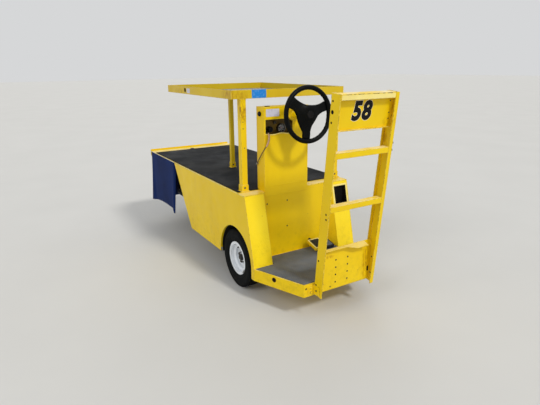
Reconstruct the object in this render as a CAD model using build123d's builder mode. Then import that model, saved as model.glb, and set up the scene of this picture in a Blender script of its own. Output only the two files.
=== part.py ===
"""Ride-on electric burden carrier with a cargo deck, a raised shelf and a rear ladder frame.

Millimetres, +X towards the deck's front, +Y to the operator's left, +Z up, floor at Z 0.
The origin is on the floor, midway along and across the machine.
"""
import math
import os

from build123d import *

os.makedirs("parts", exist_ok=True)

# Overall sizes
overall_length = 2620
body_half_width = 418
sheet = 3
gap = 0.3

# Heights of the body
deck_top = 697
deck_thick = 5
mat_thick = 6
panel_bottom = 192
floor_top = 236
sill_bottom = 156
deck_under = deck_top - deck_thick

# Places along the machine, worked from its rear end
rear_end_x = -overall_length / 2
ladder_lean_run = 118
ladder_rise = 1184
ladder_depth = 72
platform_length = 357
fender_slant_run = 107
bulkhead_gap = 19
lean = math.atan2(ladder_lean_run, ladder_rise)
ladder_foot_x = rear_end_x + ladder_lean_run
platform_rear_x = ladder_foot_x + ladder_depth * math.cos(lean) + gap
fender_foot_x = platform_rear_x + platform_length
fender_top_x = fender_foot_x + fender_slant_run
bulkhead_x = fender_top_x + bulkhead_gap
bulkhead_front_x = bulkhead_x + sheet

# Places along the machine, worked from its front end
lip_thick = 6
deck_front_x = overall_length / 2 - lip_thick
flap_length = 669
panel_front_slant = 326
panel_front_top_x = deck_front_x - flap_length
panel_front_bottom_x = panel_front_top_x - panel_front_slant

# Wheels
tyre_radius = 205
tyre_width = 120
rim_width = 95
rim_thick = 3.5
flange_radius = 118
bead_radius = 101
well_radius = 84
rear_axle_setback = 158
rear_track_half = 346
rear_axle_x = bulkhead_x + rear_axle_setback
front_setback = 501
steer_x = deck_front_x - front_setback
steer_trail = 30
front_axle_x = steer_x - steer_trail
arch_radius = 231.5
arch_shift = 17
arch_height = 218
fender_inner = 275

# Chassis rails and cross parts
rail_outer = 263
rail_width = 38
rail_height = 75
rail_base = 300
rail_wall = 5
rail_top = rail_base + rail_height
rail_inner = rail_outer - rail_width
rail_setback = 254
rail_front_x = deck_front_x - rail_setback
beam_height = 40
beam_width = 38
beam_base = deck_under - beam_height

# Dash tower and steering
tower_depth = 95
tower_left = 255
tower_right = -83
tower_top = 1241
tower_back_x = bulkhead_x + tower_depth
wheel_centre_y = 36
wheel_centre_z = 1197
wheel_standoff = 167
wheel_tilt = 4
wheel_outer_radius = 178
grip_radius = 13
column_radius = 24
shaft_radius = 15
running = 0.05

# Ladder frame
ladder_half = 205
ladder_flange = 25
ladder_wall = 5
ladder_base_z = 161

# Shelf and its posts
shelf_setback = 96
shelf_rear_x = fender_top_x + shelf_setback
shelf_length = 1153
shelf_half_width = 438
shelf_base = 1292
shelf_edge = 54
shelf_leg = 40
shelf_steel = 4
post_size = 40
front_post_size = 30
post_wall = 3
left_post_inset = 60
right_post_inset = 31
rear_post_setback = 22
front_post_setback = 819
foot_margin = 11


def side_plane(side, outer):
    """Upright plane at the outer face of a plate, with its extrusion running inwards."""
    if side > 0:
        return Plane.XZ.offset(-outer)
    return Plane(origin=(0, -outer, 0), x_dir=(-1, 0, 0), z_dir=(0, 1, 0))


def side_points(side, points):
    """Outline points for side_plane, whose local X runs backwards on the right side."""
    return [(side * x, z) for x, z in points]


def axle_plane(x, z):
    """Section plane through a wheel's axis: local X is across the machine, local Y is radial."""
    return Plane(origin=(x, 0, z), x_dir=(0, 1, 0), z_dir=(1, 0, 0))


SIDES = {"left": 1, "right": -1}

# Side panels: one plate a side, with a lipped wheel arch, the slanted rear edge of the fender
# and a hem folded inwards along its bottom and front edges
arch_x = rear_axle_x - arch_shift
arch_lip = 15
hem = 12
for name, side in SIDES.items():
    with BuildPart() as side_panel:
        with BuildSketch(side_plane(side, body_half_width)):
            with BuildLine():
                Polyline(
                    *side_points(side, [
                        (fender_foot_x, sill_bottom),
                        (fender_foot_x, floor_top),
                        (fender_top_x, deck_under),
                        (panel_front_top_x, deck_under),
                        (panel_front_bottom_x, panel_bottom),
                        (arch_x, panel_bottom),
                        (arch_x, sill_bottom),
                    ]),
                    close=True,
                )
            make_face()
            with Locations((side * arch_x, arch_height)):
                Circle(arch_radius, mode=Mode.SUBTRACT)
            with Locations((side * arch_x, arch_height - arch_radius / 2)):
                Rectangle(2 * arch_radius, arch_radius, mode=Mode.SUBTRACT)
        extrude(amount=sheet)
        with BuildSketch(side_plane(side, body_half_width)):
            with Locations((side * arch_x, arch_height)):
                Circle(arch_radius + sheet)
                Circle(arch_radius, mode=Mode.SUBTRACT)
            with Locations((side * arch_x, arch_height - arch_radius)):
                Rectangle(2 * arch_radius + 2 * sheet, 2 * arch_radius, mode=Mode.SUBTRACT)
        extrude(amount=arch_lip)
        with BuildSketch(side_plane(side, body_half_width)):
            with BuildLine():
                Polyline(
                    *side_points(side, [
                        (arch_x + arch_radius, panel_bottom),
                        (panel_front_bottom_x, panel_bottom),
                        (panel_front_top_x, deck_under),
                        (panel_front_top_x - sheet, deck_under),
                        (panel_front_bottom_x - sheet, panel_bottom + sheet),
                        (arch_x + arch_radius, panel_bottom + sheet),
                    ]),
                    close=True,
                )
            make_face()
        extrude(amount=hem)
    side_panel.part.label = f"side_panel_{name}"
    export_step(side_panel.part, f"parts/side_panel_{name}.step")

# Fender boxes: slanted rear plate, inner plate and, on the right, a square hand hole
slant_angle = math.atan2(fender_slant_run, deck_under - floor_top)
hole_low, hole_high, hole_margin = 535, 668, 14
for name, side in SIDES.items():
    with BuildPart() as fender:
        with BuildSketch(side_plane(side, body_half_width - sheet)):
            with BuildLine():
                Polyline(
                    *side_points(side, [
                        (fender_foot_x, floor_top),
                        (fender_top_x, deck_under),
                        (fender_top_x + sheet, deck_under),
                        (fender_foot_x + sheet, floor_top),
                    ]),
                    close=True,
                )
            make_face()
        extrude(amount=body_half_width - sheet - fender_inner)
        with BuildSketch(side_plane(side, fender_inner + sheet)):
            with BuildLine():
                Polyline(
                    *side_points(side, [
                        (fender_foot_x, floor_top),
                        (fender_top_x, deck_under),
                        (bulkhead_front_x, deck_under),
                        (bulkhead_front_x, floor_top),
                    ]),
                    close=True,
                )
            make_face()
        extrude(amount=sheet)
        if side < 0:
            hole_width = body_half_width - sheet - fender_inner - 2 * hole_margin
            hole_y = -(body_half_width - sheet + fender_inner + sheet) / 2
            with Locations(((fender_foot_x + fender_top_x) / 2, hole_y, (hole_low + hole_high) / 2)):
                Box(2 * fender_slant_run, hole_width, hole_high - hole_low, mode=Mode.SUBTRACT)
    fender.part.label = f"fender_box_{name}"
    export_step(fender.part, f"parts/fender_box_{name}.step")

# Deck plate, with a tab over each fender box
with BuildPart() as deck_plate:
    with BuildSketch(Plane.XY.offset(deck_under)):
        with BuildLine():
            Polyline(
                (bulkhead_x, -fender_inner),
                (fender_top_x, -fender_inner),
                (fender_top_x, -body_half_width),
                (deck_front_x, -body_half_width),
                (deck_front_x, body_half_width),
                (fender_top_x, body_half_width),
                (fender_top_x, fender_inner),
                (bulkhead_x, fender_inner),
                close=True,
            )
        make_face()
    extrude(amount=deck_thick)
deck_plate.part.label = "deck_plate"
export_step(deck_plate.part, "parts/deck_plate.step")

# Deck mat, short of the deck's front edge, notched round the dash tower and cut out round the
# foot plates of the shelf's posts
rear_post_x = shelf_rear_x + rear_post_setback
front_post_x = fender_top_x + front_post_setback
front_post_y = 88
POSTS = {  # along, across, side of the tube
    "shelf_post_rear_left": (rear_post_x, body_half_width - left_post_inset, post_size),
    "shelf_post_rear_right": (rear_post_x, -(body_half_width - right_post_inset), post_size),
    "shelf_post_front": (front_post_x, front_post_y, front_post_size),
}
mat_rear_setback = 83
mat_front_setback = 150
mat_rear_x = bulkhead_x + mat_rear_setback
mat_front_x = deck_front_x - mat_front_setback
mat_margin = 8
with BuildPart() as deck_mat:
    with BuildSketch(Plane.XY.offset(deck_top)):
        with BuildLine():
            Polyline(
                (mat_rear_x, -body_half_width + mat_margin),
                (mat_front_x, -body_half_width + mat_margin),
                (mat_front_x, body_half_width - mat_margin),
                (mat_rear_x, body_half_width - mat_margin),
                close=True,
            )
        make_face()
        with Locations(((bulkhead_x + tower_back_x) / 2, (tower_left + tower_right) / 2)):
            Rectangle(tower_depth + 2, tower_left - tower_right + 2, mode=Mode.SUBTRACT)
        for along, across, size in POSTS.values():
            with Locations((along, across)):
                Rectangle(size + 2 * foot_margin + 2, size + 2 * foot_margin + 2, mode=Mode.SUBTRACT)
    extrude(amount=mat_thick)
deck_mat.part.label = "deck_mat"
export_step(deck_mat.part, "parts/deck_mat.step")

# Front lip: upright bar across the deck's front edge
lip_top = 712
lip_base = 650
with BuildPart() as front_lip:
    with BuildSketch(Plane.YZ.offset(deck_front_x)):
        with Locations((0, (lip_top + lip_base) / 2)):
            Rectangle(2 * body_half_width, lip_top - lip_base)
    extrude(amount=lip_thick)
front_lip.part.label = "front_lip"
export_step(front_lip.part, "parts/front_lip.step")

# Bulkhead between the fender boxes
BULKHEAD_HOLES = [  # across, height
    (239, 613),
    (81, 615),
    (81, 432),
]
with BuildPart() as bulkhead:
    with BuildSketch(Plane.YZ.offset(bulkhead_x)):
        with Locations((0, (floor_top + deck_under) / 2)):
            Rectangle(2 * fender_inner, deck_under - floor_top)
        with Locations(*BULKHEAD_HOLES):
            Circle(5, mode=Mode.SUBTRACT)
    extrude(amount=sheet)
bulkhead.part.label = "bulkhead"
export_step(bulkhead.part, "parts/bulkhead.step")

# Dash tower: folded box on the deck, with an instrument opening in its rear face
opening_left, opening_right = 244, 40
opening_base, opening_top = 1070, 1163
column_face_z = wheel_centre_z - wheel_standoff * math.tan(math.radians(wheel_tilt))
tower_height = tower_top - deck_top
tower_width = tower_left - tower_right
tower_mid_x = bulkhead_x + tower_depth / 2
tower_mid_y = (tower_left + tower_right) / 2
with BuildPart() as dash_tower:
    with BuildSketch(Plane.XY.offset(deck_top)):
        with Locations((tower_mid_x, tower_mid_y)):
            Rectangle(tower_depth, tower_width)
            Rectangle(tower_depth - 2 * sheet, tower_width - 2 * sheet, mode=Mode.SUBTRACT)
    extrude(amount=tower_height)
    with BuildSketch(Plane.XY.offset(tower_top - sheet)):
        with Locations((tower_mid_x, tower_mid_y)):
            Rectangle(tower_depth, tower_width)
    extrude(amount=sheet)
    with BuildSketch(Plane.YZ.offset(bulkhead_x)):
        with Locations(((opening_left + opening_right) / 2, (opening_base + opening_top) / 2)):
            Rectangle(opening_left - opening_right, opening_top - opening_base)
        with Locations((wheel_centre_y, column_face_z)):
            Circle(shaft_radius + 4)
    extrude(amount=sheet, mode=Mode.SUBTRACT)
dash_tower.part.label = "dash_tower"
export_step(dash_tower.part, "parts/dash_tower.step")

# Instrument tray set back in the opening, with its round knobs and gauges
tray_setback = 34
GAUGES = [  # across, height, radius, length
    (200, 1099, 15, 30),
    (119, 1104, 19, 24),
    (160, 1140, 9, 14),
]
with BuildPart() as instrument_tray:
    with BuildSketch(Plane.YZ.offset(bulkhead_x + sheet)):
        with Locations(((opening_left + opening_right) / 2, (opening_base + opening_top) / 2)):
            Rectangle(opening_left - opening_right + 2 * sheet, opening_top - opening_base + 2 * sheet)
            Rectangle(opening_left - opening_right, opening_top - opening_base, mode=Mode.SUBTRACT)
    extrude(amount=tray_setback)
    with BuildSketch(Plane.YZ.offset(bulkhead_x + sheet + tray_setback)):
        with Locations(((opening_left + opening_right) / 2, (opening_base + opening_top) / 2)):
            Rectangle(opening_left - opening_right + 2 * sheet, opening_top - opening_base + 2 * sheet)
    extrude(amount=sheet)
instrument_tray.part.label = "instrument_tray"
export_step(instrument_tray.part, "parts/instrument_tray.step")

with BuildPart() as gauges:
    for across, height, radius, length in GAUGES:
        with BuildSketch(Plane.YZ.offset(bulkhead_x + sheet + tray_setback)):
            with Locations((across, height)):
                Circle(radius)
        extrude(amount=-length)
gauges.part.label = "gauges"
export_step(gauges.part, "parts/gauges.step")

# Steering column: collar and tube that stand off the tower's face along the tilted axis
column_axis = Vector(-math.cos(math.radians(wheel_tilt)), 0, math.sin(math.radians(wheel_tilt)))
wheel_centre = Vector(bulkhead_x - wheel_standoff, wheel_centre_y, wheel_centre_z)
hub_depth = 34
column_length = wheel_standoff - hub_depth - 12
column_root = Plane(
    origin=(bulkhead_x, wheel_centre_y, column_face_z), x_dir=(0, 1, 0), z_dir=tuple(column_axis)
)
with BuildPart() as steering_column:
    with BuildSketch(column_root.offset(-20)):
        Circle(column_radius)
    extrude(amount=column_length + 20)
    with BuildSketch(column_root.offset(-20)):
        Circle(column_radius + 16)
    extrude(amount=20 + 10)
    with BuildSketch(column_root.offset(-20)):
        Circle(shaft_radius + running)
    extrude(amount=column_length + 20, mode=Mode.SUBTRACT)
    with Locations((bulkhead_x + 100, wheel_centre_y, column_face_z)):
        Box(200, 200, 200, mode=Mode.SUBTRACT)
steering_column.part.label = "steering_column"
export_step(steering_column.part, "parts/steering_column.step")

# Steering wheel: rim, three spokes, padded hub and the shaft that turns in the column
wheel_plane = Plane(origin=tuple(wheel_centre), x_dir=(0, 1, 0), z_dir=tuple(column_axis))
grip_centre_radius = wheel_outer_radius - grip_radius
SPOKES = [77, 197, 317]  # angle from the operator's left, turning down
spoke_root, spoke_tip = 36, 17
pad_reach, pad_half, pad_thick = 80, 26, 20
pad_corners = [
    tuple(Vector(pad_reach, half, 0).rotate(Axis.Z, angle))[:2]
    for angle in SPOKES for half in (-pad_half, pad_half)
]
with BuildPart() as steering_wheel:
    with BuildSketch(Plane(origin=tuple(wheel_centre), x_dir=(0, 1, 0), z_dir=(column_axis.Z, 0, -column_axis.X))):
        with Locations((grip_centre_radius, 0)):
            Circle(grip_radius)
    revolve(axis=Axis(tuple(wheel_centre), tuple(column_axis)))
    with BuildSketch(wheel_plane.offset(-12)):
        Circle(46)
        for angle in SPOKES:
            with BuildLine():
                Polyline(
                    *[
                        tuple(Vector(along, half, 0).rotate(Axis.Z, angle))[:2]
                        for along, half in [
                            (0, -spoke_root), (grip_centre_radius, -spoke_tip),
                            (grip_centre_radius, spoke_tip), (0, spoke_root),
                        ]
                    ],
                    close=True,
                )
            make_face()
    extrude(amount=12)
    with BuildSketch(wheel_plane):
        with BuildLine():
            Polyline(*pad_corners, close=True)
        make_face()
        fillet(vertices(), 16)
    extrude(amount=pad_thick, taper=16)
    with BuildSketch(wheel_plane.offset(-hub_depth)):
        Circle(26)
    extrude(amount=hub_depth)
    with BuildSketch(wheel_plane.offset(-(wheel_standoff + 60))):
        Circle(shaft_radius)
    extrude(amount=wheel_standoff + 60 - 2)
steering_wheel.part.label = "steering_wheel"
export_step(steering_wheel.part, "parts/steering_wheel.step")

# Operator's platform: a shallow tray whose sills taper in to the ladder
sill_wall = 4
sill_hole_z = 210
sill_hole_radius = 6
platform_rear_half = 278
PLATFORM = [  # along, across: left half of the outline, rear to front
    (platform_rear_x, platform_rear_half),
    (fender_foot_x, body_half_width),
    (fender_foot_x, fender_inner + sheet),
    (bulkhead_front_x, fender_inner + sheet),
]
platform_outline = PLATFORM + [(x, -y) for x, y in reversed(PLATFORM)]
with BuildPart() as platform_tray:
    with BuildSketch(Plane.XY.offset(sill_bottom)):
        with BuildLine():
            Polyline(*platform_outline, close=True)
        make_face()
    extrude(amount=floor_top - sill_bottom)
    offset(amount=-sill_wall, openings=platform_tray.faces().sort_by(Axis.Z)[0])
    with BuildSketch(Plane.YZ.offset(platform_rear_x)):
        with Locations(*[(side * (platform_rear_half - 16), sill_hole_z) for side in SIDES.values()]):
            Circle(sill_hole_radius)
    extrude(amount=sill_wall, mode=Mode.SUBTRACT)
    for side in SIDES.values():
        with BuildSketch(side_plane(side, body_half_width)):
            with Locations((side * (platform_rear_x + 206), sill_hole_z)):
                Circle(sill_hole_radius)
        extrude(amount=body_half_width - platform_rear_half, mode=Mode.SUBTRACT)
platform_tray.part.label = "platform_tray"
export_step(platform_tray.part, "parts/platform_tray.step")

mat_inset = 9
with BuildPart() as platform_mat:
    with BuildSketch(Plane.XY.offset(floor_top)):
        with BuildLine():
            Polyline(*platform_outline, close=True)
        make_face()
        offset(amount=-mat_inset, kind=Kind.INTERSECTION, mode=Mode.REPLACE)
        with Locations((bulkhead_front_x - 5, 0)):
            Rectangle(10 + 2 * mat_inset, 2 * body_half_width, mode=Mode.SUBTRACT)
    extrude(amount=mat_thick)
platform_mat.part.label = "platform_mat"
export_step(platform_mat.part, "parts/platform_mat.step")

# Pedals: a hinge barrel on the platform, a sloping tread plate and a bent arm into the bulkhead
PEDALS = {  # centre across, width
    "brake_pedal": (-107, 90),
    "accelerator_pedal": (-207, 62),
}
pedal_base = floor_top + mat_thick
pedal_rise = 88
pedal_run = 62
pedal_plate = 6
barrel_radius = 7
arm_width = 16
pedal_foot_x = bulkhead_x - 108
pedal_top_x = pedal_foot_x + pedal_run
for name, (across, width) in PEDALS.items():
    with BuildPart() as pedal:
        with BuildSketch(Plane.XZ.offset(-(across + width / 2))):
            with BuildLine():
                Polyline(
                    (pedal_foot_x, pedal_base + barrel_radius),
                    (pedal_top_x, pedal_base + pedal_rise),
                    (pedal_top_x + pedal_plate, pedal_base + pedal_rise - 4),
                    (pedal_foot_x + pedal_plate, pedal_base + barrel_radius - 4),
                    close=True,
                )
            make_face()
            with Locations((pedal_foot_x + 2, pedal_base + barrel_radius)):
                Circle(barrel_radius)
        extrude(amount=width)
        with BuildSketch(Plane.XZ.offset(-(across + arm_width / 2))):
            with BuildLine():
                Polyline(
                    (pedal_top_x - 14, pedal_base + pedal_rise - 24),
                    (bulkhead_x, pedal_base + pedal_rise + 6),
                    (bulkhead_x, pedal_base + pedal_rise - 12),
                    (pedal_top_x - 8, pedal_base + pedal_rise - 44),
                    (pedal_top_x - 26, pedal_base + pedal_rise - 44),
                    close=True,
                )
            make_face()
        extrude(amount=arm_width)
    pedal.part.label = name
    export_step(pedal.part, f"parts/{name}.step")

# Ladder rails, webs outwards, leaning back from the platform's rear: a channel on the right, and on
# the left an angle, whose web has no flange along its rear edge
ladder_up = Vector(-math.sin(lean), 0, math.cos(lean))
ladder_length = ladder_rise / math.cos(lean)
ladder_plane = Plane(
    origin=(ladder_foot_x, 0, ladder_base_z), x_dir=(math.cos(lean), 0, math.sin(lean)), z_dir=tuple(ladder_up)
)
ladder_forward = Vector(math.cos(lean), 0, math.sin(lean))
WEB_HOLES = {  # height up the rail, distance from its rear face, radius
    "left": [
        (1150, 57, 5), (1094, 54, 9), (1039, 55, 5), (532, 27, 6), (503, 23, 6),
        (229, 55, 5), (66, 58, 5), (60, 29, 5),
    ],
    "right": [(1112, 38, 5), (1056, 37, 5), (170, 35, 5), (66, 58, 5), (60, 29, 5)],
}
for name, side in SIDES.items():
    with BuildPart() as ladder_rail:
        with BuildSketch(ladder_plane):
            with Locations((ladder_depth / 2, side * (ladder_half - ladder_flange / 2))):
                Rectangle(ladder_depth, ladder_flange)
            with Locations((ladder_depth / 2, side * (ladder_half - ladder_wall - ladder_flange / 2))):
                Rectangle(ladder_depth - 2 * ladder_wall, ladder_flange, mode=Mode.SUBTRACT)
        extrude(amount=ladder_length)
        with BuildSketch(side_plane(side, ladder_half)):
            for up, forward, radius in WEB_HOLES[name]:
                spot = Vector(ladder_foot_x, 0, ladder_base_z) + ladder_up * up + ladder_forward * forward
                with Locations((side * spot.X, spot.Z)):
                    Circle(radius)
        extrude(amount=ladder_wall, mode=Mode.SUBTRACT)
        if name == "left":
            with BuildSketch(ladder_plane):
                with Locations((0, side * (ladder_half - ladder_wall - ladder_flange / 2))):
                    Rectangle(2 * ladder_wall, ladder_flange, mode=Mode.ADD)
            extrude(amount=ladder_length, mode=Mode.SUBTRACT)
    ladder_rail.part.label = f"ladder_rail_{name}"
    export_step(ladder_rail.part, f"parts/ladder_rail_{name}.step")

# Ladder brackets: an angle a side that ties the rail's web to the platform's rear face
bracket_steel = 4
bracket_base, bracket_height, bracket_reach = 168, 60, 44
with BuildPart() as ladder_brackets:
    for side in SIDES.values():
        with BuildSketch(Plane.XY.offset(bracket_base)):
            with BuildLine():
                Polyline(
                    (platform_rear_x, side * ladder_half),
                    (platform_rear_x, side * (ladder_half + bracket_reach)),
                    (platform_rear_x - bracket_steel, side * (ladder_half + bracket_reach)),
                    (platform_rear_x - bracket_steel, side * (ladder_half + bracket_steel)),
                    (ladder_foot_x + 12, side * (ladder_half + bracket_steel)),
                    (ladder_foot_x + 12, side * ladder_half),
                    close=True,
                )
            make_face()
        extrude(amount=bracket_height)
ladder_brackets.part.label = "ladder_brackets"
export_step(ladder_brackets.part, "parts/ladder_brackets.step")

# Ladder rungs and top bar: angles between the rails' flanges
rung_steel = 4
RUNGS = [  # height up the rail to the rung's top, leg height, tread depth
    (581, 32, 40),
    (886, 32, 40),
    (ladder_length, 30, 62),
]
rung_left = ladder_half - ladder_wall
rung_right = ladder_half - ladder_flange
with BuildPart() as ladder_rungs:
    for top, leg, tread in RUNGS:
        with BuildSketch(Plane.XZ.offset(-rung_left)):
            with BuildLine():
                Polyline(
                    *[
                        tuple(Vector(ladder_foot_x, ladder_base_z, 0)
                              + Vector(math.cos(lean), math.sin(lean), 0) * across
                              + Vector(-math.sin(lean), math.cos(lean), 0) * up)[:2]
                        for across, up in [
                            (0, top - leg), (0, top), (tread, top), (tread, top - rung_steel),
                            (rung_steel, top - rung_steel), (rung_steel, top - leg),
                        ]
                    ],
                    close=True,
                )
            make_face()
        extrude(amount=rung_left + rung_right)
ladder_rungs.part.label = "ladder_rungs"
export_step(ladder_rungs.part, "parts/ladder_rungs.step")

# Number panel: blank plate set in between the rails, under the top bar
panel_setback = 34
number_panel_height = 190
web_half = ladder_half - ladder_wall
with BuildPart() as number_panel:
    with BuildSketch(ladder_plane.offset(ladder_length - rung_steel - number_panel_height)):
        with Locations((panel_setback + sheet / 2, 0)):
            Rectangle(sheet, 2 * web_half)
    extrude(amount=number_panel_height)
    with BuildSketch(ladder_plane.offset(ladder_length - rung_steel - number_panel_height)):
        with Locations((panel_setback - 8, (rung_left - rung_right) / 2)):
            Rectangle(16, rung_left + rung_right)
    extrude(amount=sheet)
number_panel.part.label = "number_panel"
export_step(number_panel.part, "parts/number_panel.step")

# Lower panel: upright plate with two columns of holes and a top flange that is bent down on the right
lower_panel_x = platform_rear_x - 42
lower_base, lower_top = 186, 452
HOLE_COLUMNS = (76, -15)
hole_pitch = 48
panel_hole_radius = 5.5
hole_first = 228
with BuildPart() as lower_panel:
    with BuildSketch(Plane.YZ.offset(lower_panel_x)):
        with Locations((0, (lower_base + lower_top) / 2)):
            Rectangle(2 * web_half, lower_top - lower_base)
        for across in HOLE_COLUMNS:
            for step in range(4):
                with Locations((across, hole_first + step * hole_pitch)):
                    Circle(panel_hole_radius, mode=Mode.SUBTRACT)
    extrude(amount=sheet)
    FLANGE = [  # across, drop of the free edge, reach rearwards
        (rung_left, 0, 30),
        (20, 0, 30),
        (-60, 18, 42),
        (-140, 16, 44),
    ]
    for (y0, drop0, reach0), (y1, drop1, reach1) in zip(FLANGE, FLANGE[1:]):
        for across, drop, reach in ((y0, drop0, reach0), (y1, drop1, reach1)):
            with BuildSketch(Plane.XZ.offset(-across)):
                with BuildLine():
                    Polyline(
                        (lower_panel_x + sheet, lower_top),
                        (lower_panel_x + sheet, lower_top - sheet),
                        (lower_panel_x - reach, lower_top - sheet - drop),
                        (lower_panel_x - reach, lower_top - drop),
                        close=True,
                    )
                make_face()
        loft(ruled=True)
lower_panel.part.label = "lower_panel"
export_step(lower_panel.part, "parts/lower_panel.step")

# Shelf frame of angle, its cross bar, and the floor sheet
shelf_front_x = shelf_rear_x + shelf_length
shelf_mid_x = (shelf_rear_x + shelf_front_x) / 2
cross_bar_width = 50
with BuildPart() as shelf_frame:
    with BuildSketch(Plane.XY.offset(shelf_base)):
        with Locations((shelf_mid_x, 0)):
            Rectangle(shelf_length, 2 * shelf_half_width)
            Rectangle(
                shelf_length - 2 * shelf_steel, 2 * (shelf_half_width - shelf_steel), mode=Mode.SUBTRACT
            )
    extrude(amount=shelf_edge)
    with BuildSketch(Plane.XY.offset(shelf_base)):
        with Locations((shelf_mid_x, 0)):
            Rectangle(shelf_length - shelf_steel, 2 * shelf_half_width - shelf_steel)
            Rectangle(shelf_length - 2 * shelf_leg, 2 * (shelf_half_width - shelf_leg), mode=Mode.SUBTRACT)
        with Locations((front_post_x, 0)):
            Rectangle(cross_bar_width, 2 * shelf_half_width - shelf_steel)
    extrude(amount=shelf_steel)
shelf_frame.part.label = "shelf_frame"
export_step(shelf_frame.part, "parts/shelf_frame.step")

with BuildPart() as shelf_floor:
    with BuildSketch(Plane.XY.offset(shelf_base + shelf_steel)):
        with Locations((shelf_mid_x, 0)):
            Rectangle(
                shelf_length - 2 * shelf_steel - 2 * gap, 2 * (shelf_half_width - shelf_steel - gap)
            )
    extrude(amount=2)
shelf_floor.part.label = "shelf_floor"
export_step(shelf_floor.part, "parts/shelf_floor.step")

# Shelf posts: square tubes with a foot plate and a short sleeve
foot_plate = 5
sleeve_height = 45
sleeve_wall = 4
post_base = deck_top
for name, (along, across, size) in POSTS.items():
    with BuildPart() as post:
        with BuildSketch(Plane.XY.offset(post_base)):
            with Locations((along, across)):
                Rectangle(size + 2 * foot_margin, size + 2 * foot_margin)
        extrude(amount=foot_plate)
        with BuildSketch(Plane.XY.offset(post_base)):
            with Locations((along, across)):
                Rectangle(size + 2 * sleeve_wall, size + 2 * sleeve_wall)
        extrude(amount=sleeve_height)
        with BuildSketch(Plane.XY.offset(post_base)):
            with Locations((along, across)):
                Rectangle(size, size)
        extrude(amount=shelf_base - post_base)
        with BuildSketch(Plane.XY.offset(post_base)):
            with Locations((along, across)):
                Rectangle(size - 2 * post_wall, size - 2 * post_wall)
        extrude(amount=shelf_base - post_base, mode=Mode.SUBTRACT)
    post.part.label = name
    export_step(post.part, f"parts/{name}.step")

# Chassis rails: two channels, open inwards, from the bulkhead to the front cross member
for name, side in SIDES.items():
    with BuildPart() as rail:
        with BuildSketch(Plane.YZ.offset(bulkhead_front_x)):
            with Locations((side * (rail_outer - rail_width / 2), rail_base + rail_height / 2)):
                Rectangle(rail_width, rail_height)
            with Locations((side * (rail_outer - rail_width / 2 - rail_wall), rail_base + rail_height / 2)):
                Rectangle(rail_width, rail_height - 2 * rail_wall, mode=Mode.SUBTRACT)
        extrude(amount=rail_front_x - bulkhead_front_x)
    rail.part.label = f"frame_rail_{name}"
    export_step(rail.part, f"parts/frame_rail_{name}.step")

# Deck frame: cross beams under the deck plate, each on two uprights from the rails
first_beam = 60
beam_pitch = 440
BEAMS_X = [bulkhead_front_x + first_beam + step * beam_pitch for step in range(3)] + [rail_front_x - 60]
curtain_thick = 6
beam_half = body_half_width - curtain_thick - gap
with BuildPart() as deck_frame:
    for x in BEAMS_X:
        with Locations((x, 0, beam_base + beam_height / 2)):
            Box(beam_width, 2 * beam_half, beam_height)
        for side in SIDES.values():
            with Locations((x, side * (rail_outer - rail_width / 2), (rail_top + beam_base) / 2)):
                Box(beam_width, rail_width, beam_base - rail_top)
deck_frame.part.label = "deck_frame"
export_step(deck_frame.part, "parts/deck_frame.step")

# Front cross member and steering bridge, with the head tube that carries the fork
crown_clear = 25
crown_thick = 14
crown_base = 2 * tyre_radius + crown_clear
crown_top = crown_base + crown_thick
kingpin_radius = 17
head_tube_radius = 30
head_tube_length = 130
thrust_gap = 0.5
head_base = crown_top + thrust_gap
bridge_lift = 35
bridge_base = head_base + bridge_lift
bridge_height = 60
bridge_width = 70
cross_width = 40
with BuildPart() as steering_bridge:
    with Locations((steer_x, 0, bridge_base + bridge_height / 2)):
        Box(bridge_width, 2 * rail_outer, bridge_height)
    for side in SIDES.values():
        with Locations((steer_x, side * (rail_outer - rail_width / 2), (rail_top + bridge_base) / 2)):
            Box(bridge_width, rail_width, bridge_base - rail_top)
    with BuildSketch(Plane.XY.offset(head_base)):
        with Locations((steer_x, 0)):
            Circle(head_tube_radius)
    extrude(amount=head_tube_length)
    with BuildSketch(Plane.XY.offset(head_base)):
        with Locations((steer_x, 0)):
            Circle(kingpin_radius + running)
    extrude(amount=head_tube_length, mode=Mode.SUBTRACT)
    with Locations((rail_front_x - cross_width / 2, 0, rail_base + rail_height / 2)):
        Box(cross_width, 2 * rail_inner, rail_height)
steering_bridge.part.label = "steering_bridge"
export_step(steering_bridge.part, "parts/steering_bridge.step")

# Fork: crown plate, two blades, kingpin and the axle that the front wheel turns on
blade_gap = tyre_width / 2 + 15
blade_thick = 9
blade_width = 62
axle_radius = 12
with BuildPart() as front_fork:
    with BuildSketch(Plane.XY.offset(crown_base)):
        with Locations((steer_x - steer_trail / 2, 0)):
            Rectangle(blade_width + steer_trail + 30, 2 * (blade_gap + blade_thick))
    extrude(amount=crown_thick)
    with BuildSketch(Plane.XY.offset(crown_base)):
        with Locations((steer_x, 0)):
            Circle(kingpin_radius)
    extrude(amount=crown_thick + thrust_gap + head_tube_length + 12)
    for side in SIDES.values():
        with BuildSketch(side_plane(side, blade_gap + blade_thick)):
            with BuildLine():
                Polyline(
                    *side_points(side, [
                        (front_axle_x - blade_width / 2, tyre_radius),
                        (steer_x - steer_trail - blade_width / 2, crown_base),
                        (steer_x + blade_width / 2, crown_base),
                        (front_axle_x + blade_width / 2, tyre_radius),
                    ]),
                    close=True,
                )
            make_face()
            with Locations((side * front_axle_x, tyre_radius)):
                Circle(blade_width / 2)
        extrude(amount=blade_thick)
    with BuildSketch(Plane.XZ.offset(-(blade_gap + blade_thick + 8))):
        with Locations((front_axle_x, tyre_radius)):
            Circle(axle_radius)
    extrude(amount=2 * (blade_gap + blade_thick + 8))
front_fork.part.label = "front_fork"
export_step(front_fork.part, "parts/front_fork.step")

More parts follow.
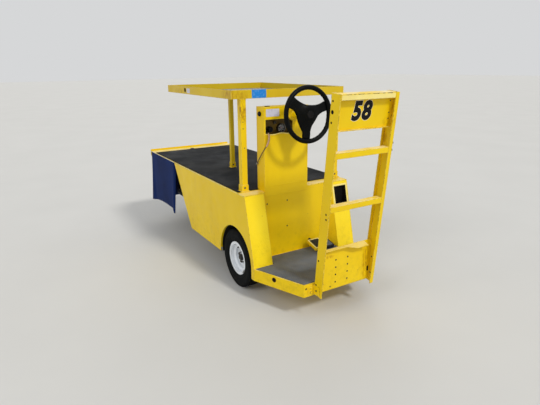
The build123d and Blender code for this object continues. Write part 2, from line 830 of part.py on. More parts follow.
# Wheels: pressed rim with a dished disc and hub, and a tyre
half_rim = rim_width / 2
half_tyre = tyre_width / 2
rim_skin = [  # across from the rim's middle, radius
    (-half_rim, flange_radius),
    (-half_rim + rim_thick, flange_radius),
    (-half_rim + rim_thick, bead_radius + 3),
    (-half_rim + 8, bead_radius),
    (-22, bead_radius - 2),
    (-14, well_radius),
    (14, well_radius),
    (22, bead_radius - 2),
    (half_rim - 8, bead_radius),
    (half_rim - rim_thick, bead_radius + 3),
    (half_rim - rim_thick, flange_radius),
    (half_rim, flange_radius),
    (half_rim, bead_radius - rim_thick + 2),
    (24, bead_radius - 2 - rim_thick),
    (16, well_radius - rim_thick),
    (-16, well_radius - rim_thick),
    (-24, bead_radius - 2 - rim_thick),
    (-half_rim, bead_radius - rim_thick + 2),
]
bead = half_rim - rim_thick - gap
tyre_skin = [  # across from the tyre's middle, radius: one half, bead to crown
    (bead - 4.5, bead_radius + gap),
    (bead, bead_radius + 3.5),
    (bead, flange_radius + 2),
    (half_tyre - 3, flange_radius + 22),
    (half_tyre, tyre_radius - 42),
    (half_tyre - 3, tyre_radius - 22),
    (half_tyre - 14, tyre_radius - 8),
    (half_tyre - 34, tyre_radius - 1.5),
    (half_tyre - 50, tyre_radius),
]
WHEELS = {  # along, across, side that the dish faces, axle radius, hub reach inwards and outwards
    "rear_left": (rear_axle_x, rear_track_half, 1, 14, 60, 12),
    "rear_right": (rear_axle_x, -rear_track_half, -1, 14, 60, 12),
    "front": (front_axle_x, 0, 1, axle_radius, 58, 58),
}
disc_shift = -14
disc_thick = 5
for name, (along, across, face, bore, reach_in, reach_out) in WHEELS.items():
    axis = Axis((along, 0, tyre_radius), (0, 1, 0))
    with BuildPart() as rim:
        with BuildSketch(axle_plane(along, tyre_radius)):
            with BuildLine():
                Polyline(*[(across + y, r) for y, r in rim_skin], close=True)
            make_face()
        revolve(axis=axis)
        with BuildSketch(axle_plane(along, tyre_radius)):
            with BuildLine():
                Polyline(
                    *[
                        (across + face * y, r)
                        for y, r in [
                            (-reach_in, bore + running),
                            (-reach_in, 34),
                            (disc_shift - disc_thick, 34),
                            (disc_shift - disc_thick, 62),
                            (disc_shift + 12 - disc_thick, well_radius - rim_thick),
                            (disc_shift + 12, well_radius - rim_thick),
                            (disc_shift, 62),
                            (disc_shift, 34),
                            (reach_out, 30),
                            (reach_out, bore + running),
                        ]
                    ],
                    close=True,
                )
            make_face()
        revolve(axis=axis)
        with BuildSketch(Plane(origin=(along, across - 30, tyre_radius), x_dir=(1, 0, 0), z_dir=(0, 1, 0))):
            with PolarLocations(52, 5):
                Circle(8)
        extrude(amount=60, mode=Mode.SUBTRACT)
    rim.part.label = f"rim_{name}"
    export_step(rim.part, f"parts/rim_{name}.step")

    with BuildPart() as tyre:
        with BuildSketch(axle_plane(along, tyre_radius)):
            with BuildLine():
                Polyline(
                    *[(across + y, r) for y, r in tyre_skin],
                    *[(across - y, r) for y, r in reversed(tyre_skin)],
                    close=True,
                )
            make_face()
        revolve(axis=axis)
    tyre.part.label = f"tyre_{name}"
    export_step(tyre.part, f"parts/tyre_{name}.step")

# Rear axle: beam, gear housing, stub axles and brake backing plates
axle_tube_radius = 30
backing_radius = 74
backing_face = rear_track_half - 60 - 2
with BuildPart() as rear_axle:
    with BuildSketch(Plane.XZ.offset(-backing_face + 4)):
        with Locations((rear_axle_x, tyre_radius)):
            Circle(axle_tube_radius)
    extrude(amount=2 * (backing_face - 4))
    for side in SIDES.values():
        with BuildSketch(side_plane(side, backing_face)):
            with Locations((side * rear_axle_x, tyre_radius)):
                Circle(backing_radius)
        extrude(amount=4)
    with BuildSketch(Plane.XZ.offset(-(rear_track_half + 14))):
        with Locations((rear_axle_x, tyre_radius)):
            Circle(14)
    extrude(amount=2 * (rear_track_half + 14))
    with BuildSketch(axle_plane(rear_axle_x, tyre_radius)):
        with BuildLine():
            Polyline((-70, 0), (-70, 50), (-40, 86), (40, 86), (70, 50), (70, 0), close=True)
        make_face()
    revolve(axis=Axis((rear_axle_x, 0, tyre_radius), (0, 1, 0)))
rear_axle.part.label = "rear_axle"
export_step(rear_axle.part, "parts/rear_axle.step")

# Drive motor: one plain block on the front of the gear housing
motor_radius = 85
motor_length = 230
with BuildPart() as drive_motor:
    with BuildSketch(Plane.YZ.offset(rear_axle_x + 86)):
        with Locations((0, tyre_radius + 15)):
            Circle(motor_radius)
    extrude(amount=motor_length)
drive_motor.part.label = "drive_motor"
export_step(drive_motor.part, "parts/drive_motor.step")

# Leaf springs: three bent leaves a side on the axle tube, hung from the rails at both ends
spring_base = tyre_radius + axle_tube_radius
spring_width = 34
shackle = 26
leaf_thick = 8
spring_radius = 1100
LEAVES = [(80, 110), (110, 150), (140, 190)]  # reach behind the axle, reach ahead of it
spring_centre_z = spring_base + spring_radius
with BuildPart() as leaf_springs:
    for side in SIDES.values():
        spring_y = side * (rail_outer - rail_width / 2)
        for layer, (behind, ahead) in enumerate(LEAVES):
            low = spring_radius - layer * leaf_thick
            high = low - leaf_thick
            with BuildSketch(Plane.XZ.offset(-(spring_y + spring_width / 2))):
                with BuildLine():
                    lower = ThreePointArc(
                        (rear_axle_x - behind, spring_centre_z - math.sqrt(low**2 - behind**2)),
                        (rear_axle_x, spring_centre_z - low),
                        (rear_axle_x + ahead, spring_centre_z - math.sqrt(low**2 - ahead**2)),
                    )
                    upper = ThreePointArc(
                        (rear_axle_x - behind, spring_centre_z - math.sqrt(high**2 - behind**2)),
                        (rear_axle_x, spring_centre_z - high),
                        (rear_axle_x + ahead, spring_centre_z - math.sqrt(high**2 - ahead**2)),
                    )
                    Line(lower @ 0, upper @ 0)
                    Line(lower @ 1, upper @ 1)
                make_face()
            extrude(amount=spring_width)
        behind, ahead = LEAVES[-1]
        for reach in (-(behind - shackle / 2), ahead - shackle / 2):
            foot_z = spring_centre_z - math.sqrt(low**2 - reach**2)
            with Locations((rear_axle_x + reach, spring_y, (foot_z + rail_base) / 2)):
                Box(shackle, spring_width, rail_base - foot_z)
leaf_springs.part.label = "leaf_springs"
export_step(leaf_springs.part, "parts/leaf_springs.step")

# Battery tray and the battery as one plain block
battery_setback = 720
battery_x = bulkhead_front_x + battery_setback
battery_length = 400
battery_height = 280
tray_steel = 5
with BuildPart() as battery_tray:
    with Locations((battery_x, 0, rail_base + tray_steel / 2)):
        Box(battery_length + 30, 2 * rail_inner, tray_steel)
battery_tray.part.label = "battery_tray"
export_step(battery_tray.part, "parts/battery_tray.step")

with BuildPart() as battery_block:
    with Locations((battery_x, 0, rail_base + tray_steel + battery_height / 2)):
        Box(battery_length, 2 * rail_inner - 20, battery_height)
battery_block.part.label = "battery_block"
export_step(battery_block.part, "parts/battery_block.step")

# Curtain round the deck's front: left, front and right falls in one soft sheet
curtain_base = 205
with BuildPart() as curtain:
    with BuildSketch(Plane.XY.offset(curtain_base)):
        with BuildLine():
            Polyline(
                (panel_front_top_x + 8, body_half_width),
                (deck_front_x, body_half_width),
                (deck_front_x, -body_half_width),
                (panel_front_top_x + 8, -body_half_width),
                (panel_front_top_x + 8, -body_half_width + curtain_thick),
                (deck_front_x - curtain_thick, -body_half_width + curtain_thick),
                (deck_front_x - curtain_thick, body_half_width - curtain_thick),
                (panel_front_top_x + 8, body_half_width - curtain_thick),
                close=True,
            )
        make_face()
    extrude(amount=deck_under - curtain_base)
curtain.part.label = "curtain"
export_step(curtain.part, "parts/curtain.step")

# Instrument cord: gland in the tray, hanging tube over the tower's edge, clip on the tower's side
cord_radius = 3
gland_length = 6
tray_face_x = bulkhead_x + sheet + tray_setback
CORD = [  # hand-picked route from the gland to the clip
    (tray_face_x - gland_length, 226, 1083),
    (tray_face_x - 40, 226, 1083),
    (tray_face_x - 58, 230, 1060),
    (tray_face_x - 60, 236, 1030),
    (tray_face_x - 56, 247, 1002),
    (tray_face_x - 45, 263, 975),
    (tray_face_x - 15, 266, 942),
    (tray_face_x + 15, 265, 908),
    (tray_face_x + 40, 264, 880),
]
points = [Vector(*point) for point in CORD]
runs = [after - before for before, after in zip(points, points[1:])]
radii = [
    0.45 * min(first.length, second.length) / math.tan(math.radians(first.get_angle(second) / 2))
    for first, second in zip(runs, runs[1:])
]
print("cord radii", [round(radius) for radius in radii])
with BuildPart() as cord_tube:
    with BuildLine() as cord_path:
        FilletPolyline(*points, radius=radii)
    with BuildSketch(Plane(origin=points[0], z_dir=runs[0])):
        Circle(cord_radius)
    sweep(path=cord_path.line)
cord_length = sum(edge.length for edge in cord_path.line.edges())
print("cord length", round(cord_length))
print("cord volume ratio", round(cord_tube.part.volume / (math.pi * cord_radius**2 * cord_length), 4))
cord_tube.part.label = "cord_tube"
export_step(cord_tube.part, "parts/cord_tube.step")

with BuildPart() as cord_gland:
    with BuildSketch(Plane(origin=points[0], z_dir=(1, 0, 0))):
        Circle(7)
    extrude(amount=gland_length)
cord_gland.part.label = "cord_gland"
export_step(cord_gland.part, "parts/cord_gland.step")

clip_end = Plane(origin=points[-1], z_dir=runs[-1])
with BuildPart() as cord_clip:
    with BuildSketch(clip_end):
        Circle(5.5)
    extrude(amount=16)
    clip_x, clip_y, clip_z = points[-1] + runs[-1].normalized() * 8
    with Locations((clip_x, (tower_left + clip_y) / 2, clip_z)):
        Box(9, clip_y - tower_left, 9)
cord_clip.part.label = "cord_clip"
export_step(cord_clip.part, "parts/cord_clip.step")
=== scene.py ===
"""Looks of the ride-on electric burden carrier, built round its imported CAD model.

Metres, +X towards the deck's front, +Y to the operator's left, +Z up, floor at Z 0.
"""
import math

import bmesh
import bpy
from mathutils import Matrix, Vector


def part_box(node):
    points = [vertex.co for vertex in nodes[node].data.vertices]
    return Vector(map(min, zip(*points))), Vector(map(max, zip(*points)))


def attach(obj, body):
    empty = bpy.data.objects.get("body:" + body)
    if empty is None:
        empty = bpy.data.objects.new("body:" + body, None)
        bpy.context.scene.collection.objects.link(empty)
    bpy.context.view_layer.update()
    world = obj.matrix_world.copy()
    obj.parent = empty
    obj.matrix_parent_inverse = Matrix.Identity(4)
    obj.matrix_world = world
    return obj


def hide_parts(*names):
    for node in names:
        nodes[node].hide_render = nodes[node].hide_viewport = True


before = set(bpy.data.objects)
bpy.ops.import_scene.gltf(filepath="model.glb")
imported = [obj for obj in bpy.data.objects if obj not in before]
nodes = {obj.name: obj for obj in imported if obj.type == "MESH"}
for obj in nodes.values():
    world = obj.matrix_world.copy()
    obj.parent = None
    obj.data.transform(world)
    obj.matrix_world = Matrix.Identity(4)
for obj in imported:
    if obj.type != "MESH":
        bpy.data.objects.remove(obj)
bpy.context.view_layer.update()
scene = bpy.context.scene
scene.view_settings.view_transform = "Standard"

BULKHEAD_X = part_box("bulkhead")[0].x
DECK_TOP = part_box("deck_plate")[1].z
PANEL_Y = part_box("side_panel_left")[1].y
DECK_FRONT_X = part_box("deck_plate")[1].x
WHEEL_R = 0.205
# The ladder leans back by its run over its rise, and so do the fenders' rear faces from the floor pan up
LADDER_RUN, LADDER_RISE = 0.118, 1.184
FENDER_RUN, FENDER_RISE, FENDER_FOOT_Z = 0.107, 0.456, 0.236
LADDER_FOOT = Vector((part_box("ladder_rail_left")[0].x + LADDER_RUN, 0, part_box("ladder_rail_left")[0].z))
LADDER_LEAN = math.atan2(LADDER_RUN, LADDER_RISE)
LADDER_UP = Vector((-math.sin(LADDER_LEAN), 0, math.cos(LADDER_LEAN)))
LADDER_FORWARD = Vector((math.cos(LADDER_LEAN), 0, math.sin(LADDER_LEAN)))
LADDER_LENGTH = LADDER_RISE / math.cos(LADDER_LEAN)
FENDER_FACE_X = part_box("fender_box_right")[0].x


# ---- Camera, from the vanishing lines of the deck, the shelf and the ladder ----

CAMERA_PLACE = (-3.100, 1.693, 1.482)
CAMERA_YAW_PITCH_ROLL = (-30.929, -16.702, -0.568)
CAMERA_LENS = 30.2  # millimetres, on a sensor 36 mm wide


def place_camera():
    yaw, pitch, roll = (math.radians(angle) for angle in CAMERA_YAW_PITCH_ROLL)
    ahead = Vector((math.cos(yaw) * math.cos(pitch), math.sin(yaw) * math.cos(pitch), math.sin(pitch)))
    right = ahead.cross(Vector((0, 0, 1))).normalized()
    up = right.cross(ahead)
    tipped_right = right * math.cos(roll) + up * math.sin(roll)
    tipped_up = up * math.cos(roll) - right * math.sin(roll)
    camera = bpy.data.objects.new("camera", bpy.data.cameras.new("camera"))
    scene.collection.objects.link(camera)
    turn = Matrix((tipped_right, tipped_up, -ahead)).transposed().to_4x4()
    camera.matrix_world = Matrix.Translation(CAMERA_PLACE) @ turn
    camera.data.sensor_width = 36
    camera.data.lens = CAMERA_LENS
    camera.data.clip_start = 0.05
    scene.camera = camera


place_camera()


# ---- Instrument cord: out of its gland, over the tower's left edge, into the clip ----

CORD_ROUTE = [
    (-0.60605, 0.226, 1.083),
    (-0.64005, 0.226, 1.083),
    (-0.65805, 0.230, 1.060),
    (-0.66005, 0.236, 1.030),
    (-0.65605, 0.247, 1.002),
    (-0.64505, 0.263, 0.975),
    (-0.61505, 0.266, 0.942),
    (-0.58505, 0.265, 0.908),
    (-0.56005, 0.264, 0.880),
]


def hang_cord():
    line = bpy.data.curves.new("instrument_cord", "CURVE")
    line.dimensions = "3D"
    spline = line.splines.new("NURBS")
    spline.points.add(len(CORD_ROUTE) - 1)
    for point, place in zip(spline.points, CORD_ROUTE):
        point.co, point.radius = (*place, 1), 0.003
    spline.order_u = 3
    spline.use_endpoint_u = True
    line.resolution_u = 12
    # The thickness stands in the points' radius, which the object's box takes in, so the depth is 1
    line.bevel_depth = 1.0
    line.bevel_resolution = 4
    line.use_fill_caps = True
    cord = bpy.data.objects.new("instrument_cord", line)
    scene.collection.objects.link(cord)
    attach(cord, "chassis")
    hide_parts("cord_tube")
    return cord


cord = hang_cord()


# ---- Finishes ----

MM = 1000  # millimetres in a metre: a pattern's scale is MM over its real size in millimetres


def colour(text):
    """sRGB hex to the linear colour that Blender takes."""
    parts = [int(text[i:i + 2], 16) / 255 for i in (0, 2, 4)]
    return [p / 12.92 if p <= 0.04045 else ((p + 0.055) / 1.055) ** 2.4 for p in parts] + [1]


def add_node(tree, kind, links=None, stops=(), **settings):
    """One node: settings are its own properties, links its sockets by name or number, stops a ramp's hex colours."""
    made = tree.nodes.new(kind)
    for name, value in settings.items():
        setattr(made, name, value)
    for socket, value in (links or {}).items():
        if isinstance(value, bpy.types.NodeSocket):
            tree.links.new(value, made.inputs[socket])
        else:
            made.inputs[socket].default_value = value
    for k, (position, tone) in enumerate(stops):
        made.color_ramp.elements[k].position, made.color_ramp.elements[k].color = position, colour(tone)
    return made


def start_finish(name, **values):
    """A material with one Principled shader, its plain values on the shader's own sockets."""
    material = bpy.data.materials.new(name)
    material.use_nodes = True
    tree = material.node_tree
    tree.nodes.clear()
    shader = add_node(tree, "ShaderNodeBsdfPrincipled", {k.replace("_", " "): v for k, v in values.items()})
    add_node(tree, "ShaderNodeOutputMaterial", {"Surface": shader.outputs[0]})
    where = add_node(tree, "ShaderNodeTexCoord").outputs["Object"]
    return material, tree, shader, where


def unevenness(tree, where, across_mm, detail, rough=0.55, stretch=None):
    """A cloudy level from 0 to 1, its lumps about as wide as the size given, in millimetres, before any stretch."""
    if stretch:
        where = add_node(tree, "ShaderNodeMapping", {"Vector": where, "Scale": stretch}).outputs[0]
    lumps = {"Vector": where, "Scale": MM / across_mm, "Detail": detail, "Roughness": rough}
    return add_node(tree, "ShaderNodeTexNoise", lumps).outputs["Fac"]


def patches(tree, where, across_mm, detail, fade, tones=("000000", "FFFFFF"), rough=0.55, stretch=None):
    """Uneven patches: the first hex tone below the lower level in fade, the last tone above the higher one.

    Left at black and white, they are a share of the surface.
    """
    level = unevenness(tree, where, across_mm, detail, rough, stretch)
    return add_node(tree, "ShaderNodeValToRGB", {"Fac": level}, stops=zip(fade, tones)).outputs["Color"]


def overlap(tree, first, second):
    """The share of the surface where two shares meet. Either one can be a plain strength."""
    return add_node(tree, "ShaderNodeMath", {0: first, 1: second}, operation="MULTIPLY").outputs[0]


def coat(tree, under, tone, share, strength):
    """A hex tone laid over what is under it, on a share of the surface and as thickly as its strength."""
    cover = {0: overlap(tree, share, strength), 6: under, 7: colour(tone)}
    return add_node(tree, "ShaderNodeMix", cover, data_type="RGBA").outputs[2]


def varied_gloss(tree, shader, where, across_mm, detail, fade, rough):
    """Roughness that wanders from its first value to its last where patches as wide as the size come and go."""
    level = unevenness(tree, where, across_mm, detail)
    wandering = {0: level, 1: fade[0], 2: fade[1], 3: rough[0], 4: rough[1]}
    tree.links.new(add_node(tree, "ShaderNodeMapRange", wandering).outputs[0], shader.inputs["Roughness"])


def relief(tree, shader, height, depth, strength, under=None):
    """Raises the surface by a height pattern, over the relief or the rounded edges that are under it."""
    raised = {"Height": height, "Distance": depth, "Strength": strength}
    if under:
        raised["Normal"] = under
    normal = add_node(tree, "ShaderNodeBump", raised).outputs[0]
    tree.links.new(normal, shader.inputs["Normal"])
    return normal


def ridges(tree, along, pitch):
    """Even ridges and furrows, one pair in each pitch."""
    turn = add_node(tree, "ShaderNodeMath", {0: along, 1: 2 * math.pi / pitch}, operation="MULTIPLY").outputs[0]
    return add_node(tree, "ShaderNodeMath", {0: turn}, operation="SINE").outputs[0]


def height_share(tree, where, low, high):
    """1 below the lower height, 0 above the higher one."""
    z = add_node(tree, "ShaderNodeSeparateXYZ", {0: where}).outputs["Z"]
    return add_node(tree, "ShaderNodeMapRange", {0: z, 1: low, 2: high, 3: 1.0, 4: 0.0}).outputs[0]


def edge_share(tree, radius):
    """Near 1 on the outer and inner edges of folded sheet, from how far the rounded normal turns.

    Returns that share and the rounded normal, which softens the edge in a relief.
    """
    rounded = add_node(tree, "ShaderNodeBevel", {"Radius": radius}, samples=6).outputs[0]
    flat = add_node(tree, "ShaderNodeNewGeometry").outputs["Normal"]
    turn = add_node(tree, "ShaderNodeVectorMath", {0: rounded, 1: flat}, operation="DOT_PRODUCT").outputs["Value"]
    share = add_node(tree, "ShaderNodeMapRange", {0: turn, 1: 0.985, 2: 0.86, 3: 0.0, 4: 1.0}).outputs[0]
    return share, rounded


def bloom_share(tree, where, middle, reach):
    """1 in the middle of a stain, falling to 0 at its reach along X, Y and Z, in metres."""
    off = add_node(tree, "ShaderNodeVectorMath", {0: where, 1: middle}, operation="SUBTRACT").outputs[0]
    off = add_node(tree, "ShaderNodeVectorMath", {0: off, 1: reach}, operation="DIVIDE").outputs[0]
    far = add_node(tree, "ShaderNodeVectorMath", {0: off}, operation="LENGTH").outputs["Value"]
    return add_node(tree, "ShaderNodeMapRange", {0: far, 1: 0.35, 2: 1.0, 3: 1.0, 4: 0.0}).outputs[0]


def yellow_enamel(name, deep, bright, wear_and_highlight=1.0, hammered=False, blooms=()):
    """Gloss alkyd enamel sprayed on folded steel: orange peel, chipped edges, grime low down, and painted highlights.

    Wear and highlight sets how far its edges are chipped and how bright the painted highlights on its edges and upper
    faces are: 0 leaves none.
    Blooms are the places where rust has bled through the paint: middle, reach and strength.
    """
    material, tree, shader, where = start_finish(name, Roughness=0.36, IOR=1.46, Specular_IOR_Level=0.26)
    base = patches(tree, where, 385, 3, (0.3, 0.72), (deep, bright))
    streaks = patches(tree, where, 143, 6, (0.5, 0.8), rough=0.65, stretch=(1, 1, 0.16))
    base = coat(tree, base, "CDA212", streaks, 0.2)
    spots = patches(tree, where, 42, 8, (0.48, 0.72), rough=0.7)
    grime = overlap(tree, height_share(tree, where, 0.13, 0.50), spots)
    base = coat(tree, base, "85691E", grime, 0.34)
    # Rust bled through the paint in orange-brown runs, 5 to 15 mm wide
    for middle, reach, strength in blooms:
        runs = patches(tree, where, 17, 5, (0.4, 0.62), rough=0.7, stretch=(1, 1, 0.4))
        base = coat(tree, base, "96550F", overlap(tree, bloom_share(tree, where, middle, reach), runs), strength)
    # Painted highlight on faces that look up, where the roof lamps shine back, broken into patches like dry wipe marks
    flat = add_node(tree, "ShaderNodeNewGeometry").outputs["Normal"]
    lying = add_node(tree, "ShaderNodeSeparateXYZ", {0: flat}).outputs["Z"]
    lit_top_share = add_node(tree, "ShaderNodeMapRange", {0: lying, 1: 0.6, 2: 0.95, 3: 0.0, 4: 0.42 * wear_and_highlight}).outputs[0]
    marks = patches(tree, where, 62, 6, (0.42, 0.62), rough=0.6, stretch=(1, 0.4, 1))
    base = coat(tree, base, "F6E7B4", lit_top_share, marks)
    # Painted highlight: a pale tone laid along the rounded edges, where the lamps catch them; the edges are also
    # chipped to brown primer
    edges, rounded = edge_share(tree, 0.0034)
    lit_edge_share = overlap(tree, edges, patches(tree, where, 111, 4, (0.3, 0.68)))
    base = coat(tree, base, "FFF0A0", lit_edge_share, min(0.6 * wear_and_highlight, 0.9))
    chips = patches(tree, where, 22, 5, (0.56 - 0.05 * wear_and_highlight, 0.65 - 0.05 * wear_and_highlight), rough=0.7)
    base = coat(tree, base, "5E4A28", overlap(tree, edges, chips), min(0.8 * wear_and_highlight, 0.95))
    # Single chips down to rust, 3 to 6 mm across, scattered over the flats
    from_middle = add_node(tree, "ShaderNodeTexVoronoi", {"Vector": where, "Scale": MM / 38}).outputs["Distance"]
    pits = add_node(tree, "ShaderNodeValToRGB", {"Fac": from_middle}, stops=((0.05, "FFFFFF"), (0.09, "000000")))
    bare = overlap(tree, pits.outputs["Color"], patches(tree, where, 200, 3, (0.6, 0.66)))
    base = coat(tree, base, "6A4420", bare, 0.8)
    tree.links.new(base, shader.inputs["Base Color"])
    varied_gloss(tree, shader, where, 71, 6, (0.3, 0.8), (0.28, 0.5))
    peel = relief(tree, shader, unevenness(tree, where, 2.4, 2), 0.0002, 0.35, rounded)
    if hammered:
        dimples = add_node(tree, "ShaderNodeTexVoronoi", {"Vector": where, "Scale": MM / 9}, feature="SMOOTH_F1")
        relief(tree, shader, dimples.outputs["Distance"], 0.0018, 0.8, peel)
    return material


def rubber_matting(name, tint, dust, pitch, rough, gloss):
    """Ribbed rubber matting, moulded: dull black ribs with trodden grey dust between them."""
    material, tree, shader, where = start_finish(name, Roughness=rough, IOR=1.52, Specular_IOR_Level=gloss)
    trodden = patches(tree, where, 312, 7, (0.36, 0.74), (tint, dust), rough=0.62)
    base = coat(tree, trodden, "8B8984", patches(tree, where, 6.7, 3, (0.58, 0.72)), 0.16)
    tree.links.new(base, shader.inputs["Base Color"])
    varied_gloss(tree, shader, where, 200, 5, (0.3, 0.75), (rough - 0.16, rough + 0.14))
    grain = relief(tree, shader, unevenness(tree, where, 3.8, 4), 0.0005, 0.6)
    across = add_node(tree, "ShaderNodeSeparateXYZ", {0: where}).outputs["Y"]
    relief(tree, shader, ridges(tree, across, pitch), 0.0007, 0.8, grain)
    return material


def tyre_rubber():
    """Carbon-black tyre rubber, moulded: dull, with pale floor dust in the tread and low on the wall."""
    material, tree, shader, where = start_finish("worn_tyre_rubber", Roughness=0.8, IOR=1.52, Specular_IOR_Level=0.1)
    rubber = patches(tree, where, 91, 6, (0.35, 0.75), ("0A0C0C", "161818"))
    base = coat(tree, rubber, "4C4A46", patches(tree, where, 16.7, 7, (0.56, 0.78), rough=0.7), 0.14)
    tree.links.new(base, shader.inputs["Base Color"])
    relief(tree, shader, unevenness(tree, where, 2, 3), 0.0003, 0.5)
    return material


def white_rim_enamel():
    """White enamel on a pressed steel wheel: bright flange, grey dust round the hub and in the well."""
    material, tree, shader, where = start_finish("white_rim_enamel", Roughness=0.32, IOR=1.5)
    dirt = patches(tree, where, 36, 8, (0.47, 0.75), rough=0.7)
    base = coat(tree, colour("EDF2F8"), "878C92", dirt, 0.3)
    edges, rounded = edge_share(tree, 0.0022)
    chips = overlap(tree, edges, patches(tree, where, 11.1, 4, (0.52, 0.62)))
    base = coat(tree, base, "5E5048", chips, 0.6)
    tree.links.new(base, shader.inputs["Base Color"])
    relief(tree, shader, unevenness(tree, where, 2.6, 2), 0.0002, 0.3, rounded)
    return material


def moulded(name, tint, worn_tint, rough, grain_mm, gloss=0.16):
    """Moulded plastic: fine spark-eroded grain, a little polished where hands rub it."""
    material, tree, shader, where = start_finish(name, Roughness=rough, IOR=1.5, Specular_IOR_Level=gloss)
    tone = patches(tree, where, 56, 5, (0.4, 0.85), (tint, worn_tint))
    tree.links.new(tone, shader.inputs["Base Color"])
    varied_gloss(tree, shader, where, 50, 4, (0.35, 0.75), (rough + 0.08, rough - 0.12))
    grain = add_node(tree, "ShaderNodeTexVoronoi", {"Vector": where, "Scale": MM / grain_mm}).outputs["Distance"]
    relief(tree, shader, grain, 0.0002, 0.4, edge_share(tree, 0.0012)[1])
    return material


def coated_cloth():
    """Navy coated polyester: a plain weave under a thin coating, creased, with a soft sheen."""
    material, tree, shader, where = start_finish(
        "navy_coated_polyester", Roughness=0.75, IOR=1.5, Specular_IOR_Level=0.1, Sheen_Weight=0.02, Sheen_Roughness=0.4
    )
    dyed = patches(tree, where, 222, 4, (0.3, 0.75), ("0C1F4C", "142C64"))
    low = height_share(tree, where, 0.18, 0.42)
    dust = overlap(tree, low, patches(tree, where, 33, 7, (0.5, 0.8), rough=0.7))
    tree.links.new(coat(tree, dyed, "5E6478", dust, 0.16), shader.inputs["Base Color"])
    crease = relief(tree, shader, unevenness(tree, where, 111, 5, 0.6), 0.004, 0.5)
    # Threads drawn 2 mm apart, three times the real pitch, so that they show
    thread = 0.002
    cloth = add_node(tree, "ShaderNodeSeparateXYZ", {0: add_node(tree, "ShaderNodeTexCoord").outputs["UV"]})
    weave = overlap(tree, ridges(tree, cloth.outputs["X"], thread), ridges(tree, cloth.outputs["Y"], thread))
    relief(tree, shader, weave, 0.0003, 0.35, crease)
    return material


def metal(name, tint, rough, scratch_mm):
    """Bare or plated steel: bright, with fine rubbed scratches and a dull film in places."""
    material, tree, shader, where = start_finish(name, Metallic=1.0, Roughness=rough)
    tone = patches(tree, where, 25, 6, (0.3, 0.75), (tint, "6E6A64"))
    tree.links.new(tone, shader.inputs["Base Color"])
    varied_gloss(tree, shader, where, 12.5, 5, (0.3, 0.75), (rough - 0.1, rough + 0.2))
    relief(tree, shader, unevenness(tree, where, scratch_mm, 3, 0.6, (1, 1, 6)), 0.0001, 0.4)
    return material


def satin_paint(name, tint, dust, rough=0.5):
    """Satin paint on a chassis part: even and dull, with oily dust on top and at the edges."""
    material, tree, shader, where = start_finish(name, Roughness=rough, IOR=1.5, Specular_IOR_Level=0.35)
    base = patches(tree, where, 62, 7, (0.42, 0.75), (tint, dust), rough=0.65)
    edges, rounded = edge_share(tree, 0.002)
    chips = overlap(tree, edges, patches(tree, where, 20, 4, (0.5, 0.62)))
    tree.links.new(coat(tree, base, "77706A", chips, 0.5), shader.inputs["Base Color"])
    relief(tree, shader, unevenness(tree, where, 3.3, 3), 0.0003, 0.4, rounded)
    return material


def vinyl(name, tint, stain):
    """Printed vinyl film stuck on paint: thin gloss film, lightly scuffed."""
    material, tree, shader, where = start_finish(name, Roughness=0.5, IOR=1.46, Specular_IOR_Level=0.2)
    scuff = patches(tree, where, 14.3, 8, (0.52, 0.74), rough=0.7)
    tree.links.new(coat(tree, colour(tint), stain, scuff, 0.5), shader.inputs["Base Color"])
    relief(tree, shader, unevenness(tree, where, 8.3, 3), 0.0002, 0.3)
    return material


def clear_glass():
    """Float glass over the dial: clear, gloss, thin."""
    material, tree, shader, where = start_finish(
        "dial_glass", Roughness=0.03, IOR=1.52, Transmission_Weight=1.0, Base_Color=(1, 1, 1, 1)
    )
    relief(tree, shader, unevenness(tree, where, 16.7, 2), 0.00005, 0.2)
    return material


YELLOW = yellow_enamel("gloss_yellow_enamel", "ECC708", "F7D40F")
# Brighter tones than the gloss yellow: painted light on the fenders' faces, which tilt up towards the roof lamps; the
# hammered dimples are real
LIT_TREAD_YELLOW = yellow_enamel("lit_hammered_yellow_enamel", "FCDA16", "FFE42C", wear_and_highlight=0.55, hammered=True)
# Pale yellow whose colour is a painted highlight, laid on lit edges, lips, flanges and the ladder's top bar
PALE_HIGHLIGHT_YELLOW = yellow_enamel("pale_highlight_yellow_enamel", "F7DF62", "FFF0A4")
LADDER_YELLOW = yellow_enamel("chipped_yellow_enamel", "ECC708", "F7D40F", wear_and_highlight=1.9, blooms=(
    ((-1.232, -0.200, 1.245), (0.050, 0.020, 0.075), 0.75),
    ((-1.222, -0.200, 1.080), (0.050, 0.020, 0.110), 0.45),
    ((-1.290, -0.170, 1.185), (0.060, 0.050, 0.035), 0.60),
))
# Darker, greyer tones than the gloss yellow: painted shade on the shelf's rails; the blooms are rust bled through
SHADED_SHELF_YELLOW = yellow_enamel("shaded_dull_yellow_enamel", "D3B217", "DFC026", wear_and_highlight=1.4, blooms=(
    ((-0.530, 0.438, 1.315), (0.130, 0.030, 0.050), 0.60),
    ((-0.556, 0.375, 1.312), (0.030, 0.070, 0.045), 0.50),
    ((0.330, 0.438, 1.305), (0.120, 0.030, 0.030), 0.45),
))
BLED_YELLOW = yellow_enamel("rust_bled_yellow_enamel", "ECC708", "F7D40F", blooms=(
    ((-0.556, 0.360, 1.225), (0.050, 0.040, 0.100), 0.95),
    ((-1.162, -0.158, 0.300), (0.030, 0.034, 0.150), 0.70),
    ((-1.165, 0.128, 0.402), (0.030, 0.045, 0.014), 0.80),
))
SEAM_YELLOW = yellow_enamel("lapped_yellow_enamel", "ECC708", "F7D40F", wear_and_highlight=0.0)
